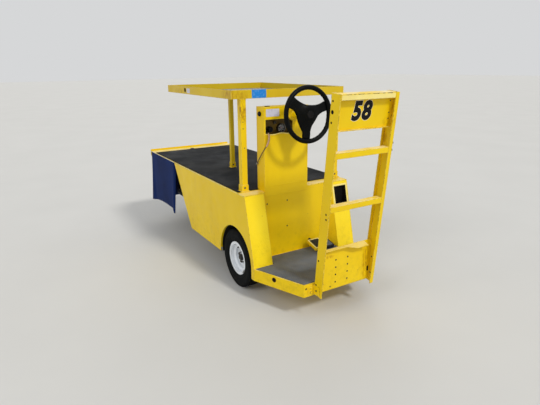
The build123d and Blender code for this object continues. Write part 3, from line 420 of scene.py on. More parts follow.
# Pale paint whose colour is a painted highlight along the deck's front edges
EDGE_HIGHLIGHT_PAINT = satin_paint("front_edge_highlight_paint", "E8DFC0", "CDB87C", 0.45)
RUST_STAIN = satin_paint("burnt_paint_stain", "6F5212", "A57D14", 0.7)
DECK_RUBBER = rubber_matting("ribbed_deck_rubber", "14171A", "26292E", 0.012, 0.8, 0.12)
FLOOR_RUBBER = rubber_matting("ribbed_platform_rubber", "454E5C", "6C7686", 0.010, 0.5, 0.4)
TYRE_RUBBER = tyre_rubber()
RIM_WHITE = white_rim_enamel()
GRIP_BLACK = moulded("moulded_grip_urethane", "030506", "080B0C", 0.46, 1.6, gloss=0.09)
PANEL_BLACK = moulded("moulded_black_abs", "0C0C0E", "1C1C1F", 0.42, 1.2)
NAVY_CLOTH = coated_cloth()
CORD_SHEATH = moulded("pvc_cable_sheath", "5A4A38", "75644E", 0.5, 1)
SLEEVE_TAN = moulded("braided_sleeve_tan", "C9A58C", "B58F78", 0.6, 1.4)
ZINC = metal("zinc_plated_steel", "C9CCD0", 0.35, 3.3)
DARK_BOLT = metal("black_oxide_steel", "2A2522", 0.5, 3.3)
# Near-black that paints the shade inside holes, slots and pockets
HOLE_SHADE_DARK = moulded("hole_shade_black", "0B0906", "1E1810", 0.8, 3)
GAUGE_STEEL = metal("blackened_bezel_steel", "4A4744", 0.3, 2.5)
CHASSIS_BLACK = satin_paint("satin_chassis_black", "17171A", "3A3733")
# Near-black for the wheel houses: painted shade in the rear wheels' arches
WELL_SHADE_BLACK = satin_paint("underseal_and_arch_shade_black", "0B0B0C", "1D1B19", 0.85)
# Olive-brown for the tower's yellow-painted tray: painted shade deep in the opening
SHADED_TRAY_OLIVE = satin_paint("tray_shade_olive_brown", "5F4A12", "735C1E")
# Dark iron for the brake drums, also painted shade behind the rims' holes
DRUM_IRON_SHADE = satin_paint("rusted_iron_and_hole_shade", "1C1B1B", "33291F", 0.75)
MOTOR_GREY = satin_paint("satin_motor_grey", "2E3236", "55524C")
CASE_BLACK = moulded("polypropylene_battery_case", "131315", "242427", 0.5, 2)
CAP_YELLOW = moulded("moulded_vent_cap_yellow", "C9A81A", "A98C1E", 0.5, 2)
SHELF_GREY = satin_paint("scuffed_grey_sheet", "646B71", "7B8085", 0.42)
NUMBER_BLACK = vinyl("black_number_vinyl", "08080A", "1C1B17")
OUTLINE_WHITE = vinyl("white_outline_vinyl", "F4EFD8", "D6C68A")
LABEL_PALE = vinyl("pale_label_vinyl", "D3D2E2", "9C9AB4")
LABEL_BLUE = vinyl("blue_label_vinyl", "2586E0", "A8D4F6")
RED_POINTER = vinyl("red_pointer_paint", "A02A20", "6E2018")
DIAL_WHITE = vinyl("printed_dial_card", "E8E6DA", "D8D4C4")
DIAL_GLASS = clear_glass()
PAD_RUBBER = rubber_matting("pedal_pad_rubber", "1C1D1A", "35362E", 0.009, 0.65, 0.3)

# Every node that isn't named here is plain gloss yellow
NODES_IN = (
    (DECK_RUBBER, ("deck_mat",)),
    (FLOOR_RUBBER, ("platform_mat",)),
    (RIM_WHITE, ("rim_front", "rim_rear_left", "rim_rear_right")),
    (TYRE_RUBBER, ("tyre_front", "tyre_rear_left", "tyre_rear_right")),
    (GRIP_BLACK, ("steering_wheel",)),
    (PANEL_BLACK, ("gauges", "cord_gland")),
    (SHADED_TRAY_OLIVE, ("instrument_tray",)),
    (ZINC, ("cord_clip",)),
    (CORD_SHEATH, ("cord_tube",)),
    (NAVY_CLOTH, ("curtain",)),
    (LIT_TREAD_YELLOW, ("fender_box_left", "fender_box_right")),
    (LADDER_YELLOW, ("ladder_rail_left", "ladder_rail_right", "ladder_rungs", "number_panel")),
    (BLED_YELLOW, ("lower_panel", "shelf_post_rear_left")),
    (SHADED_SHELF_YELLOW, ("shelf_frame",)),
    (SHELF_GREY, ("shelf_floor",)),
    (MOTOR_GREY, ("drive_motor",)),
    (CASE_BLACK, ("battery_block",)),
    (CHASSIS_BLACK, (
        "frame_rail_left", "frame_rail_right", "deck_frame", "steering_bridge", "front_fork", "battery_tray",
        "rear_axle", "leaf_springs", "accelerator_pedal",
    )),
)
node_finish = {name: finish for finish, names in NODES_IN for name in names}
for name, node in nodes.items():
    node.data.materials.clear()
    node.data.materials.append(node_finish.get(name, YELLOW))
cord.data.materials.append(CORD_SHEATH)


# ---- Making pieces ----

def new_piece(name, mesh, material, body, record_slot):
    mesh.materials.clear()
    mesh.materials.append(material)
    piece = bpy.data.objects.new(name, mesh)
    scene.collection.objects.link(piece)
    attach(piece, body)
    return piece


def plain_mesh(name, data, dress=None):
    """The plain mesh that data comes to, once dress has given its draft object the modifiers. The draft goes."""
    draft = bpy.data.objects.new(name + "_draft", data)
    scene.collection.objects.link(draft)
    if dress:
        dress(draft)
    mesh = bpy.data.meshes.new_from_object(draft.evaluated_get(bpy.context.evaluated_depsgraph_get()))
    draft.modifiers.clear()
    bpy.data.objects.remove(draft)
    return mesh


def from_shapes(name, shapes, material, body, record_slot, bevel=0.0, smooth=35):
    """One piece from lists of (points, faces), welded, pointed outwards, then bevelled where a width is given."""
    build = bmesh.new()
    for points, faces in shapes:
        verts = [build.verts.new(p) for p in points]
        for face in faces:
            build.faces.new([verts[i] for i in face])
    bmesh.ops.remove_doubles(build, verts=build.verts, dist=1e-6)
    bmesh.ops.recalc_face_normals(build, faces=build.faces)
    rough_mesh = bpy.data.meshes.new(name)
    build.to_mesh(rough_mesh)
    build.free()

    def break_edges(draft):
        cut = draft.modifiers.new("bevel", "BEVEL")
        cut.width, cut.segments, cut.limit_method, cut.angle_limit = bevel, 2, "ANGLE", math.radians(30)

    mesh = plain_mesh(name, rough_mesh, break_edges if bevel else None)
    mesh.shade_smooth()
    mesh.set_sharp_from_angle(angle=math.radians(smooth))
    return new_piece(name, mesh, material, body, record_slot)


def turned(profile, origin, axis, steps, closed=True):
    """Points and faces of a turned form: profile is (along the axis, radius), radius 0 at a pole."""
    axis = Vector(axis).normalized()
    side = axis.orthogonal().normalized()
    other = axis.cross(side)
    points, rings = [], []
    for along, radius in profile:
        start = len(points)
        count = 1 if radius < 1e-7 else steps
        for k in range(count):
            turn = 2 * math.pi * k / steps
            points.append(Vector(origin) + axis * along + (side * math.cos(turn) + other * math.sin(turn)) * radius)
        rings.append((start, count))
    faces = []
    pairs = list(zip(rings, rings[1:])) + ([(rings[-1], rings[0])] if closed else [])
    for (a, na), (b, nb) in pairs:
        for k in range(steps):
            n = (k + 1) % steps
            if na == 1 and nb == 1:
                break
            if na == 1:
                faces.append((a, b + k, b + n))
            elif nb == 1:
                faces.append((a + n, a + k, b))
            else:
                faces.append((a + k, b + k, b + n, a + n))
    return points, faces


def skin(rings, ends=True):
    """Points and faces of a form laid over rings of equally many points, its ends closed flat or left open."""
    around = len(rings[0])
    points = [p for ring in rings for p in ring]
    faces = [
        (a + k, a + (k + 1) % around, a + around + (k + 1) % around, a + around + k)
        for a in range(0, len(points) - around, around) for k in range(around)
    ]
    if ends:
        faces += [tuple(range(around)), tuple(range(len(points) - around, len(points)))]
    return points, faces


def slab(outline, thick, place):
    """Points and faces of a flat plate: outline in the plane of place, thick along its Z."""
    n = len(outline)
    points = [place @ Vector((x, y, z)) for z in (0, thick) for x, y in outline]
    faces = [tuple(range(n)), tuple(range(n, 2 * n))]
    faces += [(k, (k + 1) % n, n + (k + 1) % n, n + k) for k in range(n)]
    return points, faces


def block(low, high):
    (x0, y0, z0), (x1, y1, z1) = low, high
    return slab([(x0, y0), (x1, y0), (x1, y1), (x0, y1)], z1 - z0, Matrix.Translation((0, 0, z0)))


def rounded_outline(width, height, radius, steps=5):
    """Outline of a plate with round corners, about its middle."""
    points = []
    for cx, cy, start in ((1, 1, 0), (-1, 1, 90), (-1, -1, 180), (1, -1, 270)):
        for k in range(steps + 1):
            turn = math.radians(start + 90 * k / steps)
            points.append((
                cx * (width / 2 - radius) + radius * math.cos(turn),
                cy * (height / 2 - radius) + radius * math.sin(turn),
            ))
    return points


def facing(origin, out, up=(0, 0, 1)):
    """A place on a surface: local Z points out of it and local Y as near to up as it can."""
    z = Vector(out).normalized()
    x = Vector(up).cross(z).normalized()
    y = z.cross(x)
    return Matrix.Translation(Vector(origin)) @ Matrix((x, y, z)).transposed().to_4x4()


def tube(name, path, radius, material, body, record_slot):
    """A round bar along a path, as a bevelled curve turned into a mesh."""
    line = bpy.data.curves.new(name, "CURVE")
    line.dimensions = "3D"
    spline = line.splines.new("POLY")
    spline.points.add(len(path) - 1)
    for point, place in zip(spline.points, path):
        point.co = (*place, 1)
    line.bevel_depth, line.bevel_resolution, line.use_fill_caps = radius, 3, True
    mesh = plain_mesh(name, line)
    mesh.shade_smooth()
    mesh.set_sharp_from_angle(angle=math.radians(50))
    return new_piece(name, mesh, material, body, record_slot)


# ---- Geometry Nodes for what repeats ----

def start_tree(name, sizes):
    tree = bpy.data.node_groups.new(name, "GeometryNodeTree")
    tree.is_modifier = True
    tree.interface.new_socket("Geometry", in_out="INPUT", socket_type="NodeSocketGeometry")
    for label, kind, value in sizes:
        tree.interface.new_socket(label, in_out="INPUT", socket_type=kind).default_value = value
    tree.interface.new_socket("Material", in_out="INPUT", socket_type="NodeSocketMaterial")
    tree.interface.new_socket("Geometry", in_out="OUTPUT", socket_type="NodeSocketGeometry")
    given = add_node(tree, "NodeGroupInput").outputs
    return tree, given


def end_tree(tree, given, instances):
    real = add_node(tree, "GeometryNodeRealizeInstances", {0: instances}).outputs[0]
    painted = add_node(tree, "GeometryNodeSetMaterial", {"Geometry": real, "Material": given["Material"]}).outputs[0]
    add_node(tree, "NodeGroupOutput", {0: painted})
    return tree


def on_spots(tree, given, shape):
    """The shape on every point, its Z along the point's facing, turned by a seeded random angle."""
    out = add_node(tree, "GeometryNodeInputNamedAttribute", {"Name": "facing"}, data_type="FLOAT_VECTOR").outputs[0]
    aim = add_node(tree, "FunctionNodeAlignRotationToVector", {"Vector": out}, axis="Z").outputs[0]
    chance = add_node(tree, "FunctionNodeRandomValue", {"Min": 0.0, "Max": 6.28, "Seed": 3}, data_type="FLOAT")
    spin = add_node(tree, "FunctionNodeAxisAngleToRotation", {"Axis": (0, 0, 1), "Angle": chance.outputs["Value"]})
    turn = add_node(
        tree, "FunctionNodeRotateRotation", {"Rotation": aim, "Rotate By": spin.outputs[0]}, rotation_space="LOCAL"
    ).outputs[0]
    placed = add_node(
        tree, "GeometryNodeInstanceOnPoints", {"Points": given["Geometry"], "Instance": shape, "Rotation": turn}
    )
    return placed.outputs[0]


def hex_bolt_tree():
    """A hexagon head with a turned crown, on a round washer."""
    tree, given = start_tree("hex_bolts", [
        ("Head radius", "NodeSocketFloat", 0.0075), ("Head height", "NodeSocketFloat", 0.005),
        ("Washer radius", "NodeSocketFloat", 0.0105),
    ])
    radius, height = given["Head radius"], given["Head height"]
    # Each of these is a share of a named size, and the last two stand a bit above it, on the washer
    crown_foot, crown_top, head_z, crown_z = (
        add_node(tree, "ShaderNodeMath", {0: size, 1: share, 2: above}, operation="MULTIPLY_ADD").outputs[0]
        for size, share, above in ((radius, 0.86, 0), (radius, 0.6, 0), (height, 0.5, 0.0014), (height, 1, 0.0013))
    )
    joined = add_node(tree, "GeometryNodeJoinGeometry")
    for kind, sides, sizes, z in (
        ("GeometryNodeMeshCylinder", 6, {"Radius": radius, "Depth": height}, head_z),
        ("GeometryNodeMeshCylinder", 20, {"Radius": given["Washer radius"], "Depth": 0.0016}, 0.0007),
        ("GeometryNodeMeshCone", 18, {"Radius Bottom": crown_foot, "Radius Top": crown_top, "Depth": 0.0008}, crown_z),
    ):
        shape = add_node(tree, kind, {"Vertices": sides, **sizes}).outputs[0]
        lift = add_node(tree, "ShaderNodeCombineXYZ", {"Z": z}).outputs[0]
        raised = add_node(tree, "GeometryNodeTransform", {"Geometry": shape, "Translation": lift}).outputs[0]
        tree.links.new(raised, joined.inputs[0])
    return end_tree(tree, given, on_spots(tree, given, joined.outputs[0]))


def dome_tree():
    """A low round head, as on a rivet or a plug."""
    tree, given = start_tree("dome_heads", [
        ("Dome radius", "NodeSocketFloat", 0.005), ("Dome height", "NodeSocketFloat", 0.0022),
    ])
    dome = add_node(tree, "GeometryNodeMeshUVSphere", {"Segments": 16, "Rings": 8, "Radius": 1.0}).outputs[0]
    size = add_node(
        tree, "ShaderNodeCombineXYZ",
        {"X": given["Dome radius"], "Y": given["Dome radius"], "Z": given["Dome height"]},
    ).outputs[0]
    dome = add_node(tree, "GeometryNodeTransform", {"Geometry": dome, "Scale": size}).outputs[0]
    dome = add_node(tree, "GeometryNodeSetShadeSmooth", {"Geometry": dome}).outputs[0]
    return end_tree(tree, given, on_spots(tree, given, dome))


def weld_tree():
    """A row of overlapping drops along each edge of the input lines, as a stick weld lays them."""
    tree, given = start_tree("weld_beads", [
        ("Bead width", "NodeSocketFloat", 0.005), ("Drop spacing", "NodeSocketFloat", 0.004),
        ("Seed", "NodeSocketInt", 7),
    ])
    line = add_node(tree, "GeometryNodeMeshToCurve", {"Mesh": given["Geometry"]}).outputs[0]
    dots = add_node(
        tree, "GeometryNodeCurveToPoints", {"Curve": line, "Length": given["Drop spacing"]}, mode="LENGTH"
    )
    radius = add_node(tree, "ShaderNodeMath", {0: given["Bead width"], 1: 0.5}, operation="MULTIPLY").outputs[0]
    drop = add_node(tree, "GeometryNodeMeshIcoSphere", {"Radius": radius, "Subdivisions": 2}).outputs[0]
    drop = add_node(tree, "GeometryNodeSetShadeSmooth", {"Geometry": drop}).outputs[0]
    chance = add_node(
        tree, "FunctionNodeRandomValue", {"Min": 0.82, "Max": 1.12, "Seed": given["Seed"]}, data_type="FLOAT"
    ).outputs["Value"]
    placed = add_node(
        tree, "GeometryNodeInstanceOnPoints",
        {"Points": dots.outputs["Points"], "Instance": drop, "Rotation": dots.outputs["Rotation"], "Scale": chance},
    ).outputs[0]
    return end_tree(tree, given, placed)


def tread_tree():
    """Five rows of blocks round a tyre, every second row half a block on."""
    tree, given = start_tree("tyre_tread", [
        ("Tyre radius", "NodeSocketFloat", WHEEL_R), ("Blocks round", "NodeSocketInt", 58),
        ("Block length", "NodeSocketFloat", 0.0175), ("Block width", "NodeSocketFloat", 0.0165),
        ("Block height", "NodeSocketFloat", 0.006), ("Row spacing", "NodeSocketFloat", 0.0205),
    ])
    # The blocks' middles lie half their height inside the tyre's radius
    middle = add_node(
        tree, "ShaderNodeMath", {0: given["Block height"], 1: -0.5, 2: given["Tyre radius"]}, operation="MULTIPLY_ADD"
    ).outputs[0]
    size = add_node(
        tree, "ShaderNodeCombineXYZ",
        {"X": given["Block height"], "Y": given["Block length"], "Z": given["Block width"]},
    ).outputs[0]
    cube = add_node(tree, "GeometryNodeMeshCube", {"Size": size}).outputs[0]
    joined = add_node(tree, "GeometryNodeJoinGeometry")
    for row in (-2, -1, 0, 1, 2):
        # The two outer rows lie a little lower on the crown
        drop = 0.0006 if abs(row) == 2 else 0
        radius, across, half_block = (
            add_node(tree, "ShaderNodeMath", {0: first, 1: second}, operation=operation).outputs[0]
            for first, operation, second in (
                (middle, "SUBTRACT", drop), (given["Row spacing"], "MULTIPLY", row),
                (3.14159 * (row % 2), "DIVIDE", given["Blocks round"]),
            )
        )
        ring = add_node(tree, "GeometryNodeMeshCircle", {"Vertices": given["Blocks round"], "Radius": radius})
        out = add_node(tree, "GeometryNodeInputPosition").outputs[0]
        aim = add_node(tree, "FunctionNodeAlignRotationToVector", {"Vector": out}, axis="X", pivot_axis="Z").outputs[0]
        placed = add_node(
            tree, "GeometryNodeInstanceOnPoints", {"Points": ring.outputs[0], "Instance": cube, "Rotation": aim}
        ).outputs[0]
        shift = add_node(tree, "ShaderNodeCombineXYZ", {"Z": across}).outputs[0]
        turn = add_node(tree, "ShaderNodeCombineXYZ", {"Z": half_block}).outputs[0]
        moved = add_node(
            tree, "GeometryNodeTransform", {"Geometry": placed, "Translation": shift, "Rotation": turn}
        ).outputs[0]
        tree.links.new(moved, joined.inputs[0])
    return end_tree(tree, given, joined.outputs[0])


def grown(name, tree, mesh, material, body, record_slot, **sizes):
    """Runs a tree on a mesh and keeps the plain mesh that it makes."""
    def plant(draft):
        modifier = draft.modifiers.new("grow", "NODES")
        modifier.node_group = tree
        labels = {item.name: item.identifier for item in tree.interface.items_tree if item.in_out == "INPUT"}
        modifier[labels["Material"]] = material
        for label, value in sizes.items():
            modifier[labels[label.replace("_", " ")]] = value

    return new_piece(name, plain_mesh(name, mesh, plant), material, body, record_slot)


def spots_mesh(spots):
    """Loose points, each with the direction that it faces."""
    mesh = bpy.data.meshes.new("spots")
    mesh.from_pydata([p for p, _ in spots], [], [])
    out = mesh.attributes.new("facing", "FLOAT_VECTOR", "POINT")
    for k, (_, direction) in enumerate(spots):
        out.data[k].vector = Vector(direction).normalized()
    return mesh


HEX_BOLTS = hex_bolt_tree()
DOMES = dome_tree()
WELDS = weld_tree()
TREAD = tread_tree()


def bolts(name, spots, head, height, washer, material=ZINC, body="chassis", record_slot="zinc_clip"):
    """Hexagon heads on washers, by the head's radius and height and the washer's radius."""
    sizes = {"Head_radius": head, "Head_height": height, "Washer_radius": washer}
    grown(name, HEX_BOLTS, spots_mesh(spots), material, body, record_slot, **sizes)


def domes(name, spots, radius, height, material=HOLE_SHADE_DARK, body="chassis", record_slot="body_yellow"):
    """Low round heads: rivets and screws, and by default dark discs that paint the shade inside a hole."""
    grown(name, DOMES, spots_mesh(spots), material, body, record_slot, Dome_radius=radius, Dome_height=height)


def welds(name, lines, width, spacing=0.004):
    """Weld beads along lines of points, painted over with the frame."""
    points, edges = [], []
    for line in lines:
        start = len(points)
        points += line
        edges += [(k, k + 1) for k in range(start, len(points) - 1)]
    mesh = bpy.data.meshes.new("lines")
    mesh.from_pydata(points, edges, [])
    grown(name, WELDS, mesh, YELLOW, "chassis", "body_yellow", Bead_width=width, Drop_spacing=spacing)


# ---- Wheels ----

WHEELS = {
    "rear_left": ("rear_wheel_left", 1), "rear_right": ("rear_wheel_right", -1), "front": ("front_wheel", 1),
}


def build_wheel(name, body, face):
    """Tyre and tread, and what is fitted to the rim. Face is the side of Y that the wheel's disc looks to."""
    low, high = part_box("tyre_" + name)
    centre = (low + high) / 2
    outwards = Vector((0, face, 0))
    half = [
        (0.0437, 0.1045), (0.0437, 0.1190), (0.0490, 0.1215), (0.0545, 0.1290), (0.0572, 0.1370),
        (0.0578, 0.1440), (0.0594, 0.1452), (0.0594, 0.1480), (0.0582, 0.1492), (0.0590, 0.1580),
        (0.0590, 0.1680), (0.0580, 0.1760), (0.0592, 0.1776), (0.0588, 0.1800), (0.0566, 0.1850),
        (0.0545, 0.1915), (0.0505, 0.1965), (0.0440, 0.1985), (0.0200, 0.1995),
    ]
    section = turned(half + [(-y, r) for y, r in reversed(half)], centre, (0, 1, 0), 96)
    carcass = from_shapes(f"tyre_carcass_{name}", [section], TYRE_RUBBER, body, "tyre_rubber", smooth=50)
    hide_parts("tyre_" + name)
    tread = grown(f"tyre_tread_{name}", TREAD, bpy.data.meshes.new("none"), TYRE_RUBBER, body, "tyre_rubber")
    tread.data.transform(Matrix.Translation(centre) @ Matrix.Rotation(math.pi / 2, 4, "X"))
    # Brake drum behind the disc, which is what the rim's holes show: its dark iron is also painted shade in those holes
    drum = [
        (-0.056, 0.0352), (-0.056, 0.0705), (-0.050, 0.0735), (-0.046, 0.0715), (-0.034, 0.0715), (-0.031, 0.0735),
        (-0.027, 0.0730), (-0.0215, 0.0660), (-0.0205, 0.0352),
    ]
    from_shapes(
        f"brake_drum_{name}", [turned(drum, centre, outwards, 64)], DRUM_IRON_SHADE, body, "chassis_black", smooth=40
    )
    # Five nuts on the disc, round the hub, each with a domed tip
    nut_circle, disc_depth = 0.046, 0.0145
    nuts = []
    for k in range(5):
        turn = math.radians(10 + 72 * k)
        place = Vector((nut_circle * math.cos(turn), face * -disc_depth, nut_circle * math.sin(turn)))
        nuts.append((centre + place, outwards))
    bolts(f"lug_nuts_{name}", nuts, 0.0125, 0.020, 0.0145, DARK_BOLT, body)
    tips = [(spot + outwards * 0.0208, out) for spot, out in nuts]
    domes(f"lug_nut_tips_{name}", tips, 0.0108, 0.0080, DARK_BOLT, body, "zinc_clip")
    if name != "front":
        # Dished dust cap over the hub, black: its dark stands in for the shade in the hub's recess
        foot = 0.0145
        cap = [
            (foot - 0.003, 0.0), (foot - 0.003, 0.0262), (foot, 0.0262), (foot + 0.0025, 0.0245),
            (foot + 0.0035, 0.0215), (foot + 0.010, 0.0200), (foot + 0.0125, 0.0170), (foot + 0.0130, 0.0080),
            (foot + 0.0118, 0.0),
        ]
        from_shapes(
            f"hub_cap_{name}", [turned(cap, centre, outwards, 40, False)], CHASSIS_BLACK, body, "chassis_black"
        )
    # Valve near the top of the disc, leaning out through its hole
    lean = Vector((0.35, 0, 0.94)).normalized()
    valve_foot = centre + Vector((0, face * 0.006, 0)) + lean * 0.079
    valve_axis = (outwards * 0.9 - lean * 0.35).normalized()
    stem = [(0, 0.0), (0, 0.0055), (0.004, 0.005), (0.018, 0.0032), (0.019, 0.0042), (0.027, 0.0042), (0.0285, 0.0)]
    from_shapes(
        f"valve_stem_{name}", [turned(stem, valve_foot, valve_axis, 16, False)], PANEL_BLACK, body, "black_plastic"
    )
    # Clip-on balance weight on the rim's edge
    rings = []
    for k in range(10):
        turn = math.radians(205 + 2.1 * k)
        out = Vector((math.cos(turn), 0, math.sin(turn)))
        middle = centre + out * 0.1135 + outwards * 0.0475
        section = ((-0.004, 0), (0.004, 0), (0.003, 0.004), (-0.003, 0.004))
        rings.append([middle + out * a + outwards * b for a, b in section])
    from_shapes(f"balance_weight_{name}", [skin(rings)], ZINC, body, "zinc_clip", bevel=0.001)


for name, (body, face) in WHEELS.items():
    build_wheel(name, body, face)


# ---- Steering wheel ----

WHEEL_CENTRE = Vector((BULKHEAD_X - 0.167, 0.036, 1.197))
COLUMN_AXIS = Vector((-math.cos(math.radians(4)), 0, math.sin(math.radians(4))))
# Outline of the padded centre and its three arms: degrees and reach, seen from the operator's place,
# from the arm that points right and round past the top
PAD_OUTLINE = [
    (6.5, 0.153), (6, 0.130), (4, 0.104), (-2, 0.082), (-10, 0.069), (-30, 0.060), (-55, 0.062), (-72, 0.073),
    (-81, 0.092), (-85, 0.112), (-86, 0.153), (-109, 0.153), (-110, 0.130), (-114, 0.112),
    (-124, 0.100), (-140, 0.089), (-160, 0.084), (-180, 0.085), (-192, 0.098), (-198, 0.118), (-199.5, 0.153),
    (-228, 0.153), (-229.5, 0.124), (-234, 0.098), (-243, 0.074), (-260, 0.058), (-284, 0.059), (-302, 0.065),
    (-317, 0.080), (-325, 0.102), (-328, 0.130), (-329, 0.153),
]


def outline_reach(angle):
    """Reach of the pad's outline at an angle in degrees, straight from point to point."""
    table = sorted((a % 360, r) for a, r in PAD_OUTLINE)
    table = [(a - 360, r) for a, r in table] + table + [(a + 360, r) for a, r in table]
    k = next(i for i in range(len(table)) if table[i][0] > angle % 360) - 1
    (a0, r0), (a1, r1) = table[k], table[k + 1]
    return r0 + (r1 - r0) * (angle % 360 - a0) / (a1 - a0)


def pad_reach(angle):
    """The same outline rounded over, widely by the hub and hardly at all along the arms' sides."""
    plain = outline_reach(angle)
    spread = 0.6 + 8.4 * max(0.0, min(1.0, (0.112 - plain) / 0.03))
    shares = [(k / 6, 1 - abs(k) / 7) for k in range(-6, 7)]
    return sum(outline_reach(angle + spread * k) * w for k, w in shares) / sum(w for _, w in shares)


def build_steering_wheel():
    """Scalloped rim, padded centre with its arms, horn button, hub, and the screws behind it."""
    left = Vector((0, 1, 0))
    frame_turn = Matrix((left, COLUMN_AXIS.cross(left), COLUMN_AXIS)).transposed().to_4x4()
    place = Matrix.Translation(WHEEL_CENTRE) @ frame_turn
    grip_points, grip_faces, around, across = [], [], 144, 16
    for i in range(around):
        turn = 2 * math.pi * i / around
        for j in range(across):
            bend = 2 * math.pi * j / across
            # Finger scallops on the back and inner side of the rim
            behind = max(0.0, -math.sin(bend)) + max(0.0, -math.cos(bend)) * 0.5
            # The rim is fuller where the right hand holds it, seen from the operator's place
            full = 0.0026 / (1 + (abs((math.degrees(turn) - 183 + 180) % 360 - 180) / 24) ** 6)
            thick = 0.0150 + full - 0.0013 * behind * (0.5 + 0.5 * math.cos(turn * 36))
            ring = 0.1630 - full + thick * math.cos(bend)
            grip_points.append(place @ Vector((ring * math.cos(turn), ring * math.sin(turn), thick * math.sin(bend))))
            a, b = i * across, ((i + 1) % around) * across
            grip_faces.append((a + j, b + j, b + (j + 1) % across, a + (j + 1) % across))
    grip = from_shapes(
        "steering_grip", [(grip_points, grip_faces)], GRIP_BLACK, "steering", "steering_plastic", smooth=80
    )
    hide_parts("steering_wheel")
    # Padded centre and arms in one moulding: rings of its outline, drawn in towards the hub
    steps, rings = 240, []
    reaches = [pad_reach(360 * k / steps) for k in range(steps)]
    for share, sink in (
        (0.90, -0.0115), (0.97, -0.0105), (1.0, -0.007), (0.985, -0.0035), (0.95, -0.0012), (0.88, 0), (0.76, 0),
        (0.62, 0), (0.46, 0), (0.28, 0), (0.12, 0),
    ):
        ring = []
        for k in range(steps):
            reach = reaches[k] * share
            # The pad swells to 21 mm over the hub, and the arms lie nearly flat
            swell = 0.0205 / (1 + (reach / 0.066) ** 6) + 0.0012
            lift = sink if sink < -0.006 else swell + sink * (1 + 2.4 / (1 + (reach / 0.07) ** 6))
            turn = 2 * math.pi * k / steps
            ring.append(place @ Vector((-reach * math.cos(turn), -reach * math.sin(turn), lift)))
        rings.append(ring)
    points, faces = skin(rings, ends=False)
    points += [place @ Vector((0, 0, 0.0217)), place @ Vector((0, 0, -0.0115))]
    top = (len(rings) - 1) * steps
    faces += [(top + k, top + (k + 1) % steps, len(points) - 2) for k in range(steps)]
    faces += [((k + 1) % steps, k, len(points) - 1) for k in range(steps)]
    from_shapes("steering_pad", [(points, faces)], GRIP_BLACK, "steering", "steering_plastic", smooth=50)
    button = [(0.0200, 0.0), (0.0200, 0.0225), (0.0230, 0.0225), (0.0243, 0.021), (0.0247, 0.012), (0.0248, 0.0)]
    from_shapes(
        "horn_button", [turned(button, WHEEL_CENTRE, COLUMN_AXIS, 48, False)], PANEL_BLACK, "steering",
        "black_plastic", smooth=30,
    )
    hub = [
        (-0.008, 0.0), (-0.008, 0.050), (-0.014, 0.049), (-0.018, 0.043), (-0.023, 0.033), (-0.028, 0.028),
        (-0.034, 0.026), (-0.034, 0.0148), (-0.225, 0.0148), (-0.225, 0.0),
    ]
    from_shapes(
        "steering_hub", [turned(hub, WHEEL_CENTRE, COLUMN_AXIS, 48, False)], GRIP_BLACK, "steering",
        "steering_plastic", smooth=40,
    )
    # Screws that hold the moulding to the hub's plate, from behind
    screws = [
        (place @ Vector((0.036 * math.cos(turn), 0.036 * math.sin(turn), -0.0185)), -COLUMN_AXIS)
        for turn in (0.5, 2.6, 4.7)
    ]
    bolts("steering_hub_screws", screws, 0.0045, 0.004, 0.006, DARK_BOLT, "steering")


build_steering_wheel()


# ---- Tower: instruments, label, knob and lip ----

TRAY_X = BULKHEAD_X + 0.034
SELECTOR_Y, SELECTOR_Z = 0.200, 1.099
GAUGE_AT = Vector((TRAY_X, 0.1165, 1.103))
KEY_Y, KEY_Z = 0.160, 1.140


def knob(name, centre, axis, profile, material, record_slot, steps=40):
    """A small turned piece on the chassis, its profile as turned() takes it."""
    shape = turned(profile, centre, axis, steps, False)
    return from_shapes(name, [shape], material, "chassis", record_slot, smooth=35)


def label(name, width, height, place, material, record_slot, corner=0.004):
    """A blank film stuck on: 0.4 mm proud, with round corners."""
    film = slab(rounded_outline(width, height, corner), 0.0004, place @ Matrix.Translation((0, 0, 0.0001)))
    return from_shapes(name, [film], material, "chassis", record_slot)


